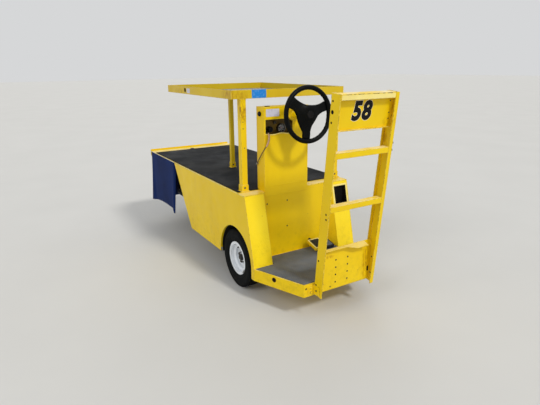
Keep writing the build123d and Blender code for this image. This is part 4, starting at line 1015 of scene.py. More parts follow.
def dress_tower():
    """Instruments in the tray, the lip of its opening, the lap of the tower's foot, label, bumper and grommet."""
    back = (-1, 0, 0)
    # Selector: fluted knob on a collar, its pointer ridge across the face
    steps, rings = 72, []
    for along, radius in ((0.002, 0.0168), (0.006, 0.0186), (0.022, 0.0175), (0.0262, 0.0157), (0.0275, 0.0108)):
        ring = []
        for k in range(steps):
            turn = 2 * math.pi * k / steps
            flute = 1 - 0.05 * (0.5 + 0.5 * math.cos(turn * 12)) * (1 if 0.004 < along < 0.024 else 0.2)
            out = radius * flute
            ring.append(Vector((
                TRAY_X - along, SELECTOR_Y + out * math.cos(turn), SELECTOR_Z + out * math.sin(turn)
            )))
        rings.append(ring)
    ridge_place = facing((TRAY_X - 0.0270, SELECTOR_Y, SELECTOR_Z), back, (0, 0.5, 1))
    ridge = slab(rounded_outline(0.007, 0.028, 0.0032), 0.003, ridge_place)
    selector = from_shapes(
        "selector_knob", [skin(rings), ridge], PANEL_BLACK, "chassis", "black_plastic", smooth=30
    )
    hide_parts("gauges")
    knob("selector_collar", (TRAY_X, SELECTOR_Y, SELECTOR_Z), back, [
        (-0.001, 0.0), (-0.001, 0.0212), (0.003, 0.0212), (0.0055, 0.0195), (0.0055, 0.0),
    ], GAUGE_STEEL, "zinc_clip")
    # Round battery gauge: black cup, steel bezel, dark card with pale marks, pointer, glass
    knob("gauge_cup", GAUGE_AT, back, [
        (-0.001, 0.0), (-0.001, 0.0270), (0.018, 0.0270), (0.018, 0.0232), (0.012, 0.0232), (0.012, 0.0),
    ], PANEL_BLACK, "black_plastic")
    knob("gauge_bezel", GAUGE_AT, back, [
        (0.0165, 0.0272), (0.0165, 0.0300), (0.0205, 0.0309), (0.0238, 0.0296), (0.0244, 0.0266), (0.0225, 0.0241),
        (0.0190, 0.0235), (0.0182, 0.0272),
    ], GAUGE_STEEL, "zinc_clip")
    knob("gauge_card", GAUGE_AT, back, [
        (0.0122, 0.0), (0.0122, 0.0229), (0.0130, 0.0229), (0.0130, 0.0),
    ], PANEL_BLACK, "black_plastic")
    marks = []
    for k in range(11):
        turn = math.radians(-50 + 28 * k)
        out = Vector((0, math.cos(turn), math.sin(turn)))
        spot = GAUGE_AT + Vector((-0.0131, 0, 0)) + out * 0.0185
        marks.append(slab(rounded_outline(0.0013, 0.0042, 0.0004, 2), 0.0003, facing(spot, back, out)))
    from_shapes("gauge_marks", marks, DIAL_WHITE, "chassis", "black_plastic")
    needle = [(-0.0012, -0.004), (0.0012, -0.004), (0.0005, 0.0165), (-0.0005, 0.0165)]
    pointer = slab(needle, 0.0005, facing(GAUGE_AT + Vector((-0.0142, 0, 0)), back, (0, 0.62, 0.78)))
    from_shapes("gauge_pointer", [pointer], RED_POINTER, "chassis", "black_plastic")
    knob("gauge_glass", GAUGE_AT, back, [
        (0.0160, 0.0), (0.0160, 0.0233), (0.0172, 0.0233), (0.0176, 0.0),
    ], DIAL_GLASS, "black_plastic")
    # Key switch: dark steel ring and barrel, with the key's slot as a dark plate of painted shade
    knob("key_switch", (TRAY_X, KEY_Y, KEY_Z), back, [
        (-0.001, 0.0), (-0.001, 0.0098), (0.010, 0.0098), (0.0128, 0.0088), (0.0135, 0.0070), (0.0110, 0.0062),
        (0.0110, 0.0),
    ], GAUGE_STEEL, "zinc_clip")
    slot_cut = slab(rounded_outline(0.0022, 0.0088, 0.001, 3), 0.0012, facing((TRAY_X - 0.0108, KEY_Y, KEY_Z), back))
    from_shapes("key_slot", [slot_cut], HOLE_SHADE_DARK, "chassis", "black_plastic")
    corners = [((TRAY_X, y, z), back) for y in (0.052, 0.236) for z in (1.078, 1.155)]
    bolts("tray_screws", corners, 0.0035, 0.003, 0.005)
    # Rolled lower edge of the opening, bent into shallow waves, its paint rubbed and pale with a painted highlight
    path = []
    for k in range(41):
        y = 0.2455 - 0.2065 * k / 40
        path.append((BULKHEAD_X - 0.0005, y, 1.0695 + 0.0035 * math.cos((y - 0.13) * 52)))
    tube("opening_lip", path, 0.0034, PALE_HIGHLIGHT_YELLOW, "chassis", "body_yellow")
    # The tower's sheet runs on over the bulkhead: this laps the seam between the two solids
    seam = block((BULKHEAD_X - 0.0005, -0.0828, 0.664), (BULKHEAD_X - 0.0001, 0.2548, 0.728))
    from_shapes("tower_foot_lap", [seam], SEAM_YELLOW, "chassis", "body_yellow")
    label("tower_label", 0.097, 0.047, facing((BULKHEAD_X, 0.1915, 1.2045), back), LABEL_PALE, "body_yellow")
    # Rubber door stop on the tower's left side, and a grommet in its top
    knob("side_bumper", (BULKHEAD_X + 0.050, 0.2548, 1.197), (0, 1, 0), [
        (0, 0.0), (0, 0.0150), (0.003, 0.0155), (0.009, 0.0140), (0.0125, 0.0105), (0.0130, 0.0045), (0.0115, 0.0),
    ], PANEL_BLACK, "black_plastic")
    grommet = slab(rounded_outline(0.016, 0.036, 0.0079), 0.0045, Matrix.Translation((TRAY_X, 0.2105, 1.2408)))
    from_shapes("top_grommet", [grommet], PANEL_BLACK, "chassis", "black_plastic", bevel=0.0012)


def sleeve_on_cord():
    """Braided sleeve over the cord below its gland, drawn along points read from the cord's own line."""
    line = cord.data.copy()
    line.bevel_depth = 0
    route = [v.co.copy() for v in plain_mesh("cord_line", line).vertices]
    reach, picked = 0.0, []
    for a, b in zip(route, route[1:]):
        reach += (b - a).length
        if 0.032 < reach < 0.128:
            picked.append(b)
    rings, around = [], 14
    for k, point in enumerate(picked):
        ahead = (picked[min(k + 1, len(picked) - 1)] - picked[max(k - 1, 0)]).normalized()
        side = ahead.cross(Vector((1, 0, 0)))
        side = (side if side.length > 0.2 else ahead.cross(Vector((0, 1, 0)))).normalized()
        other = ahead.cross(side)
        share = k / (len(picked) - 1)
        wide = 0.0058 * min(1.0, 0.5 + 6 * min(share, 1 - share)) * (1 + 0.05 * math.sin(share * 40))
        turns = [2 * math.pi * j / around for j in range(around)]
        rings.append([
            point + side * (wide * math.cos(turn)) + other * (0.0046 * math.sin(turn)) for turn in turns
        ])
    return from_shapes("cord_sleeve", [skin(rings)], SLEEVE_TAN, "chassis", "cord_sheath", smooth=60)


dress_tower()
sleeve_on_cord()


# ---- Ladder: number, holes, bolts, welds ----

def rail_spot(up, forward, across):
    """A point on the ladder: up along its rails, forward of their rear faces, across the machine."""
    return LADDER_FOOT + LADDER_UP * up + LADDER_FORWARD * forward + Vector((0, across, 0))


def draw_number():
    """A plain generic number in two layers of film: a white outline under thick slanted black figures."""
    place = facing(rail_spot(LADDER_LENGTH - 0.0935, 0.034, 0.0215), -LADDER_FORWARD, tuple(LADDER_UP))
    size, middle = None, None
    for name, spread, lift, material in (
        ("number_figures", 0.050, 0.0006, NUMBER_BLACK), ("number_outline", 0.064, 0.0002, OUTLINE_WHITE),
    ):
        text = bpy.data.curves.new(name, "FONT")
        text.body = "58"
        text.size, text.shear, text.offset, text.extrude = 1.0, 0.18, spread, 0.5
        text.space_character = 1.12
        text.resolution_u = 6
        mesh = plain_mesh(name, text)
        if size is None:
            low = Vector([min(v.co[k] for v in mesh.vertices) for k in range(2)])
            high = Vector([max(v.co[k] for v in mesh.vertices) for k in range(2)])
            middle = (low + high) / 2
            size = (0.1435 / (high.x - low.x), 0.1065 / (high.y - low.y))
        for vert in mesh.vertices:
            vert.co = place @ Vector((
                (vert.co.x - middle.x) * size[0], (vert.co.y - middle.y) * size[1], lift + vert.co.z * 0.0004
            ))
        mesh.update()
        new_piece(name, mesh, material, "chassis", "body_yellow")


WEB_HOLES = {
    1: [(1.150, 0.057, 0.005), (1.094, 0.054, 0.009), (1.039, 0.055, 0.005), (0.532, 0.027, 0.006),
        (0.503, 0.023, 0.006), (0.229, 0.055, 0.005), (0.066, 0.058, 0.005), (0.060, 0.029, 0.005)],
    -1: [(1.112, 0.038, 0.005), (1.056, 0.037, 0.005), (0.170, 0.035, 0.005), (0.066, 0.058, 0.005),
         (0.060, 0.029, 0.005)],
}
RAIL_SIDE_Y = 0.2052
LOWER_PANEL_X = -1.1622


def dress_ladder():
    """Number, dark discs of painted shade in holes, bolts and rivets, the top bar's rubbed and highlighted patch,
    welds, and the lower panel's marks.
    """
    draw_number()
    # Dark discs in the web's holes, sunk below the face: painted shade inside the holes
    small, large = [], []
    for side, holes in WEB_HOLES.items():
        for up, forward, radius in holes:
            spot = (rail_spot(up, forward, side * 0.2030), (0, side, 0))
            (large if radius > 0.007 else small).append(spot)
    domes("web_hole_shade_small", small, 0.0086, 0.0030)
    domes("web_hole_shade_large", large, 0.0150, 0.0030)
    # Painted bolts through the brackets, dark ones through the rails' feet and the upper rung's right end
    painted = [
        (Vector((-1.1242, side * 0.230, z)), (-1, 0, 0)) for side in (1, -1) for z in (0.213, 0.184)
    ]
    bolts("ladder_bracket_bolts", painted, 0.0065, 0.0046, 0.0088, YELLOW, record_slot="body_yellow")
    feet = [(rail_spot(0.031, 0.047, side * RAIL_SIDE_Y), (0, side, 0)) for side in (1, -1)]
    bolts("ladder_foot_bolts", feet, 0.0065, 0.0046, 0.0088, DARK_BOLT)
    ends = [(rail_spot(up, 0.013, -RAIL_SIDE_Y), (0, -1, 0)) for up in (0.906, 0.864)]
    bolts("rung_end_bolts", ends, 0.0085, 0.0095, 0.0110, DARK_BOLT)
    rivets = [(rail_spot(up, 0.0338, -0.176), -LADDER_FORWARD) for up in (1.042, 1.075, 1.140)]
    rivets += [(rail_spot(up, 0.0338, 0.178), -LADDER_FORWARD) for up in (1.042, 1.150)]
    domes("panel_rivets", rivets, 0.004, 0.002, DARK_BOLT)
    # The top bar's rear face carries a pale patch, rubbed paint and a painted highlight, and its upper edge is down to
    # bare steel in places
    bar_highlight_place = facing(rail_spot(LADDER_LENGTH - 0.0165, 0.0, 0.010), -LADDER_FORWARD, tuple(LADDER_UP))
    pale = slab(rounded_outline(0.372, 0.0260, 0.004), 0.0003, bar_highlight_place)
    from_shapes("top_bar_painted_highlight", [pale], PALE_HIGHLIGHT_YELLOW, "chassis", "body_yellow")
    scrapes = []
    for across, wide, high in (
        (0.150, 0.034, 0.0034), (0.112, 0.014, 0.0026), (0.071, 0.046, 0.0030), (0.020, 0.022, 0.0024),
        (-0.032, 0.052, 0.0032), (-0.088, 0.018, 0.0026), (-0.131, 0.040, 0.0036),
    ):
        outline = [
            (-wide / 2, -high * 0.2), (-wide * 0.3, -high), (wide * 0.1, -high * 0.6), (wide * 0.38, -high),
            (wide / 2, 0.0),
        ]
        edge = facing(rail_spot(LADDER_LENGTH - 0.0006, -0.0003, across), -LADDER_FORWARD, tuple(LADDER_UP))
        scrapes.append(slab(outline, 0.0003, edge))
    from_shapes("top_bar_scrapes", scrapes, RUST_STAIN, "chassis", "body_yellow")
    # Welds along the rungs and the top bar, the number panel's sides, and the ends of the lower panel
    lines = []
    for top, leg, tread in ((0.581, 0.032, 0.040), (0.886, 0.032, 0.040), (LADDER_LENGTH, 0.030, 0.062)):
        for across in (0.1985, -0.1795):
            lines.append([rail_spot(top - 0.001, 0.003, across), rail_spot(top - 0.001, tread - 0.004, across)])
            lines.append([rail_spot(top - leg, -0.0002, across), rail_spot(top - 0.002, -0.0002, across)])
    for across in (0.1985, -0.1985):
        for low, high in ((1.002, 1.048), (1.128, 1.180)):
            lines.append([rail_spot(low, 0.033, across), rail_spot(high, 0.033, across)])
        for low, high in ((0.196, 0.242), (0.392, 0.446)):
            lines.append([Vector((-1.1625, across, low)), Vector((-1.1625, across, high))])
    welds("ladder_welds", lines, 0.0052)
    # Lower panel: dark discs of painted shade in its two columns of holes, an odd one beside them, a pressed crease,
    # and a slot painted as a dark plate of shade
    holes = [(Vector((-1.1608, y, 0.228 + 0.048 * k)), (-1, 0, 0)) for y in (0.076, -0.015) for k in range(4)]
    domes("panel_hole_shade_discs", holes, 0.0078, 0.0012)
    odd = [(Vector((LOWER_PANEL_X, y, z)), (-1, 0, 0)) for y, z in ((0.115, 0.206), (0.170, 0.236))]
    domes("panel_pop_rivets", odd, 0.0042, 0.002, DARK_BOLT)
    crease = [
        (LOWER_PANEL_X - 0.0021 * math.sin(math.pi * k / 12), -0.1455 - 0.010 * k / 12, 0.412 - 0.216 * k / 12)
        for k in range(13)
    ]
    tube("panel_crease", crease, 0.0030, YELLOW, "chassis", "body_yellow")
    slot_plate = slab(rounded_outline(0.013, 0.034, 0.006), 0.0006, facing((-1.1620, -0.181, 0.255), (-1, 0, 0)))
    from_shapes("panel_slot", [slot_plate], HOLE_SHADE_DARK, "chassis", "body_yellow")
    streak = slab([(-0.030, -0.005), (0.026, -0.002), (0.030, 0.004), (-0.028, 0.006)], 0.0005,
                  facing((-1.1621, 0.150, 0.4345), (-1, 0, 0)))
    from_shapes("panel_scorch", [streak], RUST_STAIN, "chassis", "body_yellow")


dress_ladder()


# ---- Platform, pedals and body ----

TREADLE_TILT = math.radians(14)
SQUARE = ((-1, -1), (1, -1), (1, 1), (-1, 1))
SILL_RUN, SILL_TAPER = 0.357, 0.140  # the sill's slanted side goes this far back and this far in


def fender_face_x(z):
    """Where the fenders' slanted rear faces stand at a height."""
    return FENDER_FACE_X + FENDER_RUN / FENDER_RISE * (z - FENDER_FOOT_Z)


def ribbed_pad(name, centre, out, up, width, height, ribs, rubber):
    """Rubber pad with a raised rim round moulded ribs."""
    place = facing(centre, out, up)
    shapes = [slab(rounded_outline(width, height, 0.006), 0.004, place)]
    pitch = (height - 0.016) / ribs
    rib = rounded_outline(width - 0.014, pitch * 0.5, pitch * 0.22, 3)
    for k in range(ribs):
        y = -height / 2 + 0.008 + pitch * (k + 0.5)
        shapes.append(slab(rib, 0.0024, place @ Matrix.Translation((0, y, 0.0038))))
    return from_shapes(name, shapes, rubber, "chassis", "rubber_mat", bevel=0.0007)


def wall_faces(*pairs):
    """Quads between two rings of four points each, for every pair of rings, named by their first points."""
    sides = ((0, 1), (1, 2), (2, 3), (3, 0))
    return [(a + k, a + n, b + n, b + k) for k, n in sides for a, b in pairs]


def border(width, height, wide, thick, place):
    """Points and faces of a flat rectangular ring."""
    points = []
    for z in (0, thick):
        for w, h in ((width, height), (width - 2 * wide, height - 2 * wide)):
            points += [place @ Vector((sx * w / 2, sy * h / 2, z)) for sx, sy in SQUARE]
    return points, wall_faces((0, 4), (8, 12), (0, 8), (4, 12))


def treadle(name, front, width, length, ribs, paint, rim_paint, rubber):
    """Foot treadle: a shallow folded tray with a rim round a ribbed pad, on an arm out of the bulkhead; a pale rim is a
    painted highlight.
    """
    fall = Vector((-math.cos(TREADLE_TILT), 0, -math.sin(TREADLE_TILT)))
    out = Vector((fall.z, 0, -fall.x))
    up = tuple(-fall)
    middle = front + fall * length / 2
    walls = border(width, length, 0.003, 0.0175, facing(middle - out * 0.0200, out, up))
    plate = slab(rounded_outline(width, length, 0.004), 0.003, facing(middle - out * 0.0030, out, up))
    tray = from_shapes(f"{name}_pedal_tray", [walls, plate], paint, "chassis", "body_yellow", bevel=0.0010)
    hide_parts(f"{name}_pedal")
    rim = border(width - 0.001, length - 0.001, 0.0065, 0.0045, facing(middle, out, up))
    from_shapes(f"{name}_pedal_rim", [rim], rim_paint, "chassis", "body_yellow", bevel=0.0010)
    inset = 0.015
    ribbed_pad(f"{name}_pedal_pad", middle + out * 0.0002, out, up, width - inset, length - inset, ribs, rubber)
    foot = middle - out * 0.0100
    knee = Vector((BULKHEAD_X - 0.022, front.y, front.z - 0.0120))
    root = Vector((BULKHEAD_X + 0.001, front.y, front.z - 0.0100))
    tube(f"{name}_pedal_arm", [foot, knee, root], 0.0070, CHASSIS_BLACK, "chassis", "body_yellow")


def dress_platform():
    """Both treadles, dark discs of painted shade in the holes round the operator's place, and the right hand hole's
    lining of painted shade.
    """
    # The brake's pale rim is a painted highlight on its edges
    treadle("brake", Vector((BULKHEAD_X - 0.043, -0.107, 0.3065)), 0.090, 0.105, 8,
            YELLOW, PALE_HIGHLIGHT_YELLOW, PAD_RUBBER)
    treadle("accelerator", Vector((BULKHEAD_X - 0.046, -0.207, 0.2830)), 0.062, 0.080, 6,
            CHASSIS_BLACK, CHASSIS_BLACK, FLOOR_RUBBER)
    # Dark discs in the bulkhead's and the sills' holes: painted shade inside them
    back = (-1, 0, 0)
    upper = [
        (Vector((BULKHEAD_X + 0.0012, y, z)), back) for y, z in ((0.239, 0.613), (0.081, 0.615), (0.081, 0.432))
    ]
    domes("bulkhead_hole_shade_discs", upper, 0.0062, 0.0012)
    sills = [(Vector((-1.1188, side * 0.262, 0.210)), back) for side in (1, -1)]
    domes("sill_hole_shade_discs", sills, 0.0070, 0.0012)
    # A plug in a rusted ring half way along each sill's slanted side
    run = Vector((SILL_RUN, SILL_TAPER, 0)).normalized()
    for side, name in ((1, "left"), (-1, "right")):
        out = Vector((-run.y, side * run.x, 0))
        spot = Vector((-0.9141, side * (0.278 + 0.206 * SILL_TAPER / SILL_RUN), 0.210)) - out * 0.0006
        knob(f"sill_plug_{name}", spot, out, [
            (-0.001, 0.0), (-0.001, 0.0130), (0.0015, 0.0130), (0.0028, 0.0112), (0.0024, 0.0080), (0.0008, 0.0066),
            (0.0008, 0.0),
        ], HOLE_SHADE_DARK, "black_plastic", steps=28)
        knob(f"sill_ring_{name}", spot, out, [
            (0.0002, 0.0132), (0.0002, 0.0165), (0.0014, 0.0162), (0.0018, 0.0142), (0.0014, 0.0132),
        ], RUST_STAIN, "body_yellow", steps=28)
    # Black pocket behind the right fender's hand hole, painted shade inside it, and the flange folded round it, pale
    # with a painted highlight
    back_of_box = BULKHEAD_X - 0.001
    walls = []
    for thick in (0.0, 0.003):
        for at_face in (True, False):
            for y, z in ((-0.4100, 0.5290), (-0.2830, 0.5290), (-0.2830, 0.6740), (-0.4100, 0.6740)):
                y += thick if y < -0.34 else -thick
                z += thick if z < 0.6 else -thick
                face_x = fender_face_x(z) + 0.0035
                walls.append(Vector((face_x if at_face else back_of_box - thick, y, z)))
    faces = [(4, 5, 6, 7), (12, 13, 14, 15)] + wall_faces((0, 4), (8, 12), (0, 8))
    from_shapes("hand_hole_shade_pocket", [(walls, faces)], HOLE_SHADE_DARK, "chassis", "black_plastic")
    middle_z = 0.6015
    slant = Vector((FENDER_RUN, 0, FENDER_RISE)).normalized()
    hole_middle = Vector((fender_face_x(middle_z) - 0.0006, -0.3465, middle_z))
    ring = border(0.1300, 0.1500, 0.0130, 0.0016, facing(hole_middle, (-slant.z, 0, slant.x), tuple(slant)))
    from_shapes("hand_hole_flange", [ring], PALE_HIGHLIGHT_YELLOW, "chassis", "body_yellow", bevel=0.0005)


dress_platform()


# ---- Deck and shelf ----

STRIP_FOOT_Z, STRIP_TOP_Z = 0.6915, 0.6978
POSTS = (  # the middle of each foot, half the tube's width and half the sleeve's
    (Vector((-0.538, 0.358, 0)), 0.0200, 0.0240),
    (Vector((-0.538, -0.387, 0)), 0.0200, 0.0240),
    (Vector((0.163, 0.088, 0)), 0.0150, 0.0190),
)


def square_line(middle, half, z):
    """A closed line of points round a square."""
    return [middle + Vector((sx * half, sy * half, z)) for sx, sy in SQUARE + SQUARE[:1]]


def dress_deck():
    """Painted highlight strips along the deck's edges, its bung, and the posts' screws, rivets and welds."""
    for side, name in ((1, "left"), (-1, "right")):
        near, far = (PANEL_Y, PANEL_Y + 0.0010) if side > 0 else (-PANEL_Y - 0.0010, -PANEL_Y)
        # Thin pale strips on the panels' top edges: a painted highlight where the lamps catch the deck's edges
        front = block((0.645, near, STRIP_FOOT_Z), (DECK_FRONT_X, far, STRIP_TOP_Z))
        from_shapes(f"deck_edge_strip_{name}", [front], EDGE_HIGHLIGHT_PAINT, "chassis", "body_yellow", bevel=0.0004)
        rear = block((-0.655, near, STRIP_FOOT_Z), (0.644, far, STRIP_TOP_Z))
        from_shapes(f"panel_edge_strip_{name}", [rear], PALE_HIGHLIGHT_YELLOW, "chassis", "body_yellow", bevel=0.0004)
    knob("deck_bung", (1.190, 0.030, DECK_TOP - 0.0003), (0, 0, 1), [
        (0, 0.0), (0, 0.0195), (0.0025, 0.0200), (0.0048, 0.0180), (0.0060, 0.0130), (0.0052, 0.0060),
        (0.0058, 0.0),
    ], PANEL_BLACK, "black_plastic")
    lip = [(Vector((DECK_FRONT_X + 0.006, y, 0.7045)), (1, 0, 0)) for y in (-0.36, -0.18, 0, 0.18, 0.36)]
    domes("lip_rivets", lip, 0.0052, 0.0022, ZINC, record_slot="zinc_clip")
    sockets, rims = [], []
    for middle, tube_half, sleeve_half in POSTS:
        sockets.append((middle + Vector((-sleeve_half + 0.0002, 0.0035, DECK_TOP + 0.027)), (-1, 0, 0)))
        # Beads round the tube at the sleeve's top, round the sleeve's foot, and under the shelf
        rims.append(square_line(middle, tube_half, DECK_TOP + 0.0452))
        rims.append(square_line(middle, sleeve_half, DECK_TOP + 0.0052))
        rims.append(square_line(middle, tube_half + 0.001, 1.2905))
    domes("sleeve_set_screws", sockets, 0.0068, 0.0030, DARK_BOLT)
    welds("post_welds", rims, 0.0046, 0.0038)
    marks = [
        (Vector((-0.5581, y, z)), (-1, 0, 0))
        for y, z in ((0.362, 1.150), (0.362, 1.108), (0.355, 0.985), (-0.383, 1.120), (-0.383, 1.060))
    ]
    domes("post_rivets", marks, 0.0034, 0.0014, DARK_BOLT)


def dress_shelf():
    """Labels and bolt on the shelf's rails, rivets in its floor, welds at its corners."""
    low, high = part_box("shelf_frame")
    rear_place = facing((low.x, 0.2435, 1.3195), (-1, 0, 0))
    label("shelf_rail_label", 0.104, 0.0525, rear_place, LABEL_BLUE, "body_yellow", corner=0.003)
    side_place = facing((0.150, high.y, 1.3170), (0, 1, 0))
    label("shelf_side_label", 0.060, 0.034, side_place, LABEL_PALE, "body_yellow", corner=0.003)
    domes("shelf_side_bolt", [(Vector((0.215, high.y - 0.0002, 1.3195)), (0, 1, 0))], 0.0170, 0.0030)
    inset, floor_z = 0.0160, 1.2982
    spots = [(x, side * (high.y - inset)) for x in (-0.20, 0.40) for side in (1, -1)]
    spots += [(x, y) for y in (-0.25, 0.0, 0.25) for x in (low.x + inset, high.x - inset)]
    heads = [(Vector((x, y, floor_z)), (0, 0, 1)) for x, y in spots]
    domes("shelf_floor_rivets", heads, 0.0048, 0.0018, ZINC, record_slot="zinc_clip")
    seams = []
    for x in (low.x + 0.0002, high.x - 0.0002):
        for y in (low.y + 0.0002, high.y - 0.0002):
            seams.append([Vector((x, y, z)) for z in (1.2935, 1.3450)])
    welds("shelf_corner_welds", seams, 0.0036, 0.0032)


dress_deck()
dress_shelf()


# ---- Under the deck: motor, battery, springs, fork ----

def build_wheel_houses():
    """Black pressed hood over each rear wheel, just outside the panel's arch, flanged to the frame side: its near-black
    is painted shade in the arch.
    """
    centre_x, centre_z, radius, wall = -0.49605, 0.218, 0.2335, 0.002
    section = [
        (0.4020, radius), (0.4020, radius + wall), (0.3450, radius + wall), (0.3420, radius + wall + 0.003),
        (0.3340, radius + wall + 0.003), (0.3310, radius + wall), (0.2800, radius + wall), (0.2800, radius - 0.030),
        (0.2820, radius - 0.030), (0.2820, radius), (0.3310, radius), (0.3340, radius + 0.003),
        (0.3420, radius + 0.003), (0.3450, radius),
    ]
    turns = [math.radians(-8 + 196 * k / 48) for k in range(49)]
    for side, name in ((1, "left"), (-1, "right")):
        hood = skin([
            [Vector((centre_x + r * math.cos(turn), side * y, centre_z + r * math.sin(turn))) for y, r in section]
            for turn in turns
        ])
        from_shapes(f"wheel_house_{name}", [hood], WELL_SHADE_BLACK, "chassis", "chassis_black", smooth=30)


build_wheel_houses()


def build_motor():
    """Finned motor can with its through bolts and terminal studs."""
    low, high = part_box("drive_motor")
    middle = Vector((low.x, (low.y + high.y) / 2, (low.z + high.z) / 2))
    long = high.x - low.x
    profile = [(0.0, 0.0), (0.0, 0.070), (0.004, 0.076), (0.030, 0.078), (0.034, 0.084), (0.040, 0.084)]
    for k in range(9):
        at = 0.052 + 0.0155 * k
        profile += [(at, 0.0795), (at + 0.003, 0.0845), (at + 0.008, 0.0845), (at + 0.011, 0.0795)]
    profile += [
        (long - 0.036, 0.0795), (long - 0.033, 0.0840), (long - 0.024, 0.0840), (long - 0.020, 0.0760),
        (long - 0.006, 0.0740), (long - 0.002, 0.0660), (long - 0.002, 0.0280), (long, 0.0260), (long, 0.0),
    ]
    can = from_shapes("motor_can", [turned(profile, middle, (1, 0, 0), 64, False)], MOTOR_GREY, "chassis", "motor_grey")
    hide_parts("drive_motor")
    through = []
    for k in range(4):
        turn = math.radians(45 + 90 * k)
        y, z = middle.y + 0.056 * math.cos(turn), middle.z + 0.056 * math.sin(turn)
        through.append((Vector((high.x - 0.0062, y, z)), (1, 0, 0)))
    studs = [
        (Vector((low.x + x, y, middle.z + 0.0835)), (0, 0, 1)) for x in (0.050, 0.080) for y in (-0.014, 0.014)
    ]
    bolts("motor_through_bolts", through + studs, 0.0055, 0.0040, 0.0078)


def build_battery():
    """Ribbed case, lid with a rim, vent caps, two posts, and the straps that hold it down."""
    low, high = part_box("battery_block")
    lid_base = high.z - 0.030
    corners = [Vector(spot) for spot in ((low.x, low.y), (high.x, low.y), (high.x, high.y), (low.x, high.y))]
    outline, ribs = [], 9
    for a, b in zip(corners, corners[1:] + corners[:1]):
        run = (b - a).normalized()
        inward = Vector((-run.y, run.x))
        length = (b - a).length
        for k in range(ribs):
            for share, depth in ((0.0, 0.004), (0.42, 0.004), (0.5, 0.0), (0.92, 0.0)):
                spot = a + run * (length * (k + share) / ribs) + inward * (depth + 0.003)
                outline.append((spot.x, spot.y))
    ribbed = slab(outline, lid_base - low.z, Matrix.Translation((0, 0, low.z)))
    case = from_shapes("battery_case", [ribbed], CASE_BLACK, "chassis", "battery_case")
    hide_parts("battery_block")
    middle = (low + high) / 2
    wide, deep = high.x - low.x, high.y - low.y
    lid = [
        slab(rounded_outline(across, along, corner), thick, Matrix.Translation((middle.x, middle.y, z)))
        for across, along, corner, thick, z in (
            (wide, deep, 0.012, 0.016, lid_base), (wide - 0.024, deep - 0.024, 0.010, 0.006, lid_base + 0.016),
        )
    ]
    from_shapes("battery_lid", lid, CASE_BLACK, "chassis", "battery_case", bevel=0.0018)
    caps = [
        (Vector((low.x + wide * (i + 0.5) / 6, middle.y + side * 0.075, lid_base + 0.0218)), (0, 0, 1))
        for i in range(6) for side in (-1, 1)
    ]
    domes("battery_vent_caps", caps, 0.0135, 0.0062, CAP_YELLOW, record_slot="battery_case")
    for k, y in enumerate((-0.165, 0.165)):
        knob(f"battery_post_{k + 1}", (low.x + 0.045, y, lid_base + 0.0215), (0, 0, 1), [
            (0, 0.0), (0, 0.0110), (0.0040, 0.0105), (0.0075, 0.0080), (0.0078, 0.0),
        ], ZINC, "zinc_clip", steps=28)
    straps = []
    for y in (-0.110, 0.110):
        for x0, z0, x1 in (
            (low.x - 0.002, lid_base + 0.0160, high.x + 0.002), (low.x - 0.0045, low.z + 0.001, low.x - 0.002),
            (high.x + 0.002, low.z + 0.001, high.x + 0.0045),
        ):
            straps.append(block((x0, y - 0.014, z0), (x1, y + 0.014, lid_base + 0.0185)))
    from_shapes("battery_straps", straps, CHASSIS_BLACK, "chassis", "chassis_black", bevel=0.0006)


AXLE = Vector((-0.47905, 0, 0.205))
SPRING_Y = 0.244


def clamp_springs():
    """Two U-bolts a side over the axle tube, with a clamp plate and nuts."""
    bend = 0.035
    paths, plates, nuts = [], [], []
    for side in (1, -1):
        for off in (-0.0225, 0.0225):
            y = side * SPRING_Y + off
            turns = [math.pi * k / 12 for k in range(13)]
            round_tube = [(AXLE.x - bend * math.cos(turn), y, AXLE.z - bend * math.sin(turn)) for turn in turns]
            paths.append([(AXLE.x - bend, y, 0.286), *round_tube, (AXLE.x + bend, y, 0.286)])
            nuts += [(Vector((AXLE.x + sx * bend, y, 0.2665)), (0, 0, 1)) for sx in (-1, 1)]
        plate_place = Matrix.Translation((AXLE.x, side * SPRING_Y, 0.2598))
        plates.append(slab(rounded_outline(0.096, 0.064, 0.008), 0.0065, plate_place))
    for k, path in enumerate(paths):
        tube(f"spring_u_bolt_{k + 1}", path, 0.0045, DARK_BOLT, "chassis", "zinc_clip")
    from_shapes("spring_clamp_plates", plates, CHASSIS_BLACK, "chassis", "chassis_black", bevel=0.001)
    bolts("spring_nuts", nuts, 0.0085, 0.0070, 0.0100)


def bolt_frame():
    """Nuts on the fork's axle, and pairs of bolts along the frame rails."""
    ends = [(Vector((0.773, side * 0.0842, 0.205)), (0, side, 0)) for side in (1, -1)]
    bolts("fork_axle_nuts", ends, 0.0170, 0.0070, 0.0200, body="fork")
    pairs = [
        (Vector((x, side * 0.2632, z)), (0, side, 0))
        for x in (-0.55, 0.30, 0.99) for side in (1, -1) for z in (0.352, 0.322)
    ]
    bolts("rail_bolts", pairs, 0.0075, 0.0050, 0.0105)


build_motor()
build_battery()
clamp_springs()
bolt_frame()


# ---- Curtain: one sheet hung from under the deck's front edge ----

CURTAIN_TOP, CURTAIN_HEM = 0.691, 0.203
CURTAIN_REAR_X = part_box("curtain")[0].x + 0.001
# The cloth hangs 3 mm inside the deck's edges: its fall along each side, and its length round the U
CURTAIN_FRONT_X, CURTAIN_SIDE_Y = DECK_FRONT_X - 0.003, PANEL_Y - 0.003
CURTAIN_FALL = CURTAIN_FRONT_X - CURTAIN_REAR_X
CURTAIN_ROUND = 2 * CURTAIN_FALL + 2 * CURTAIN_SIDE_Y


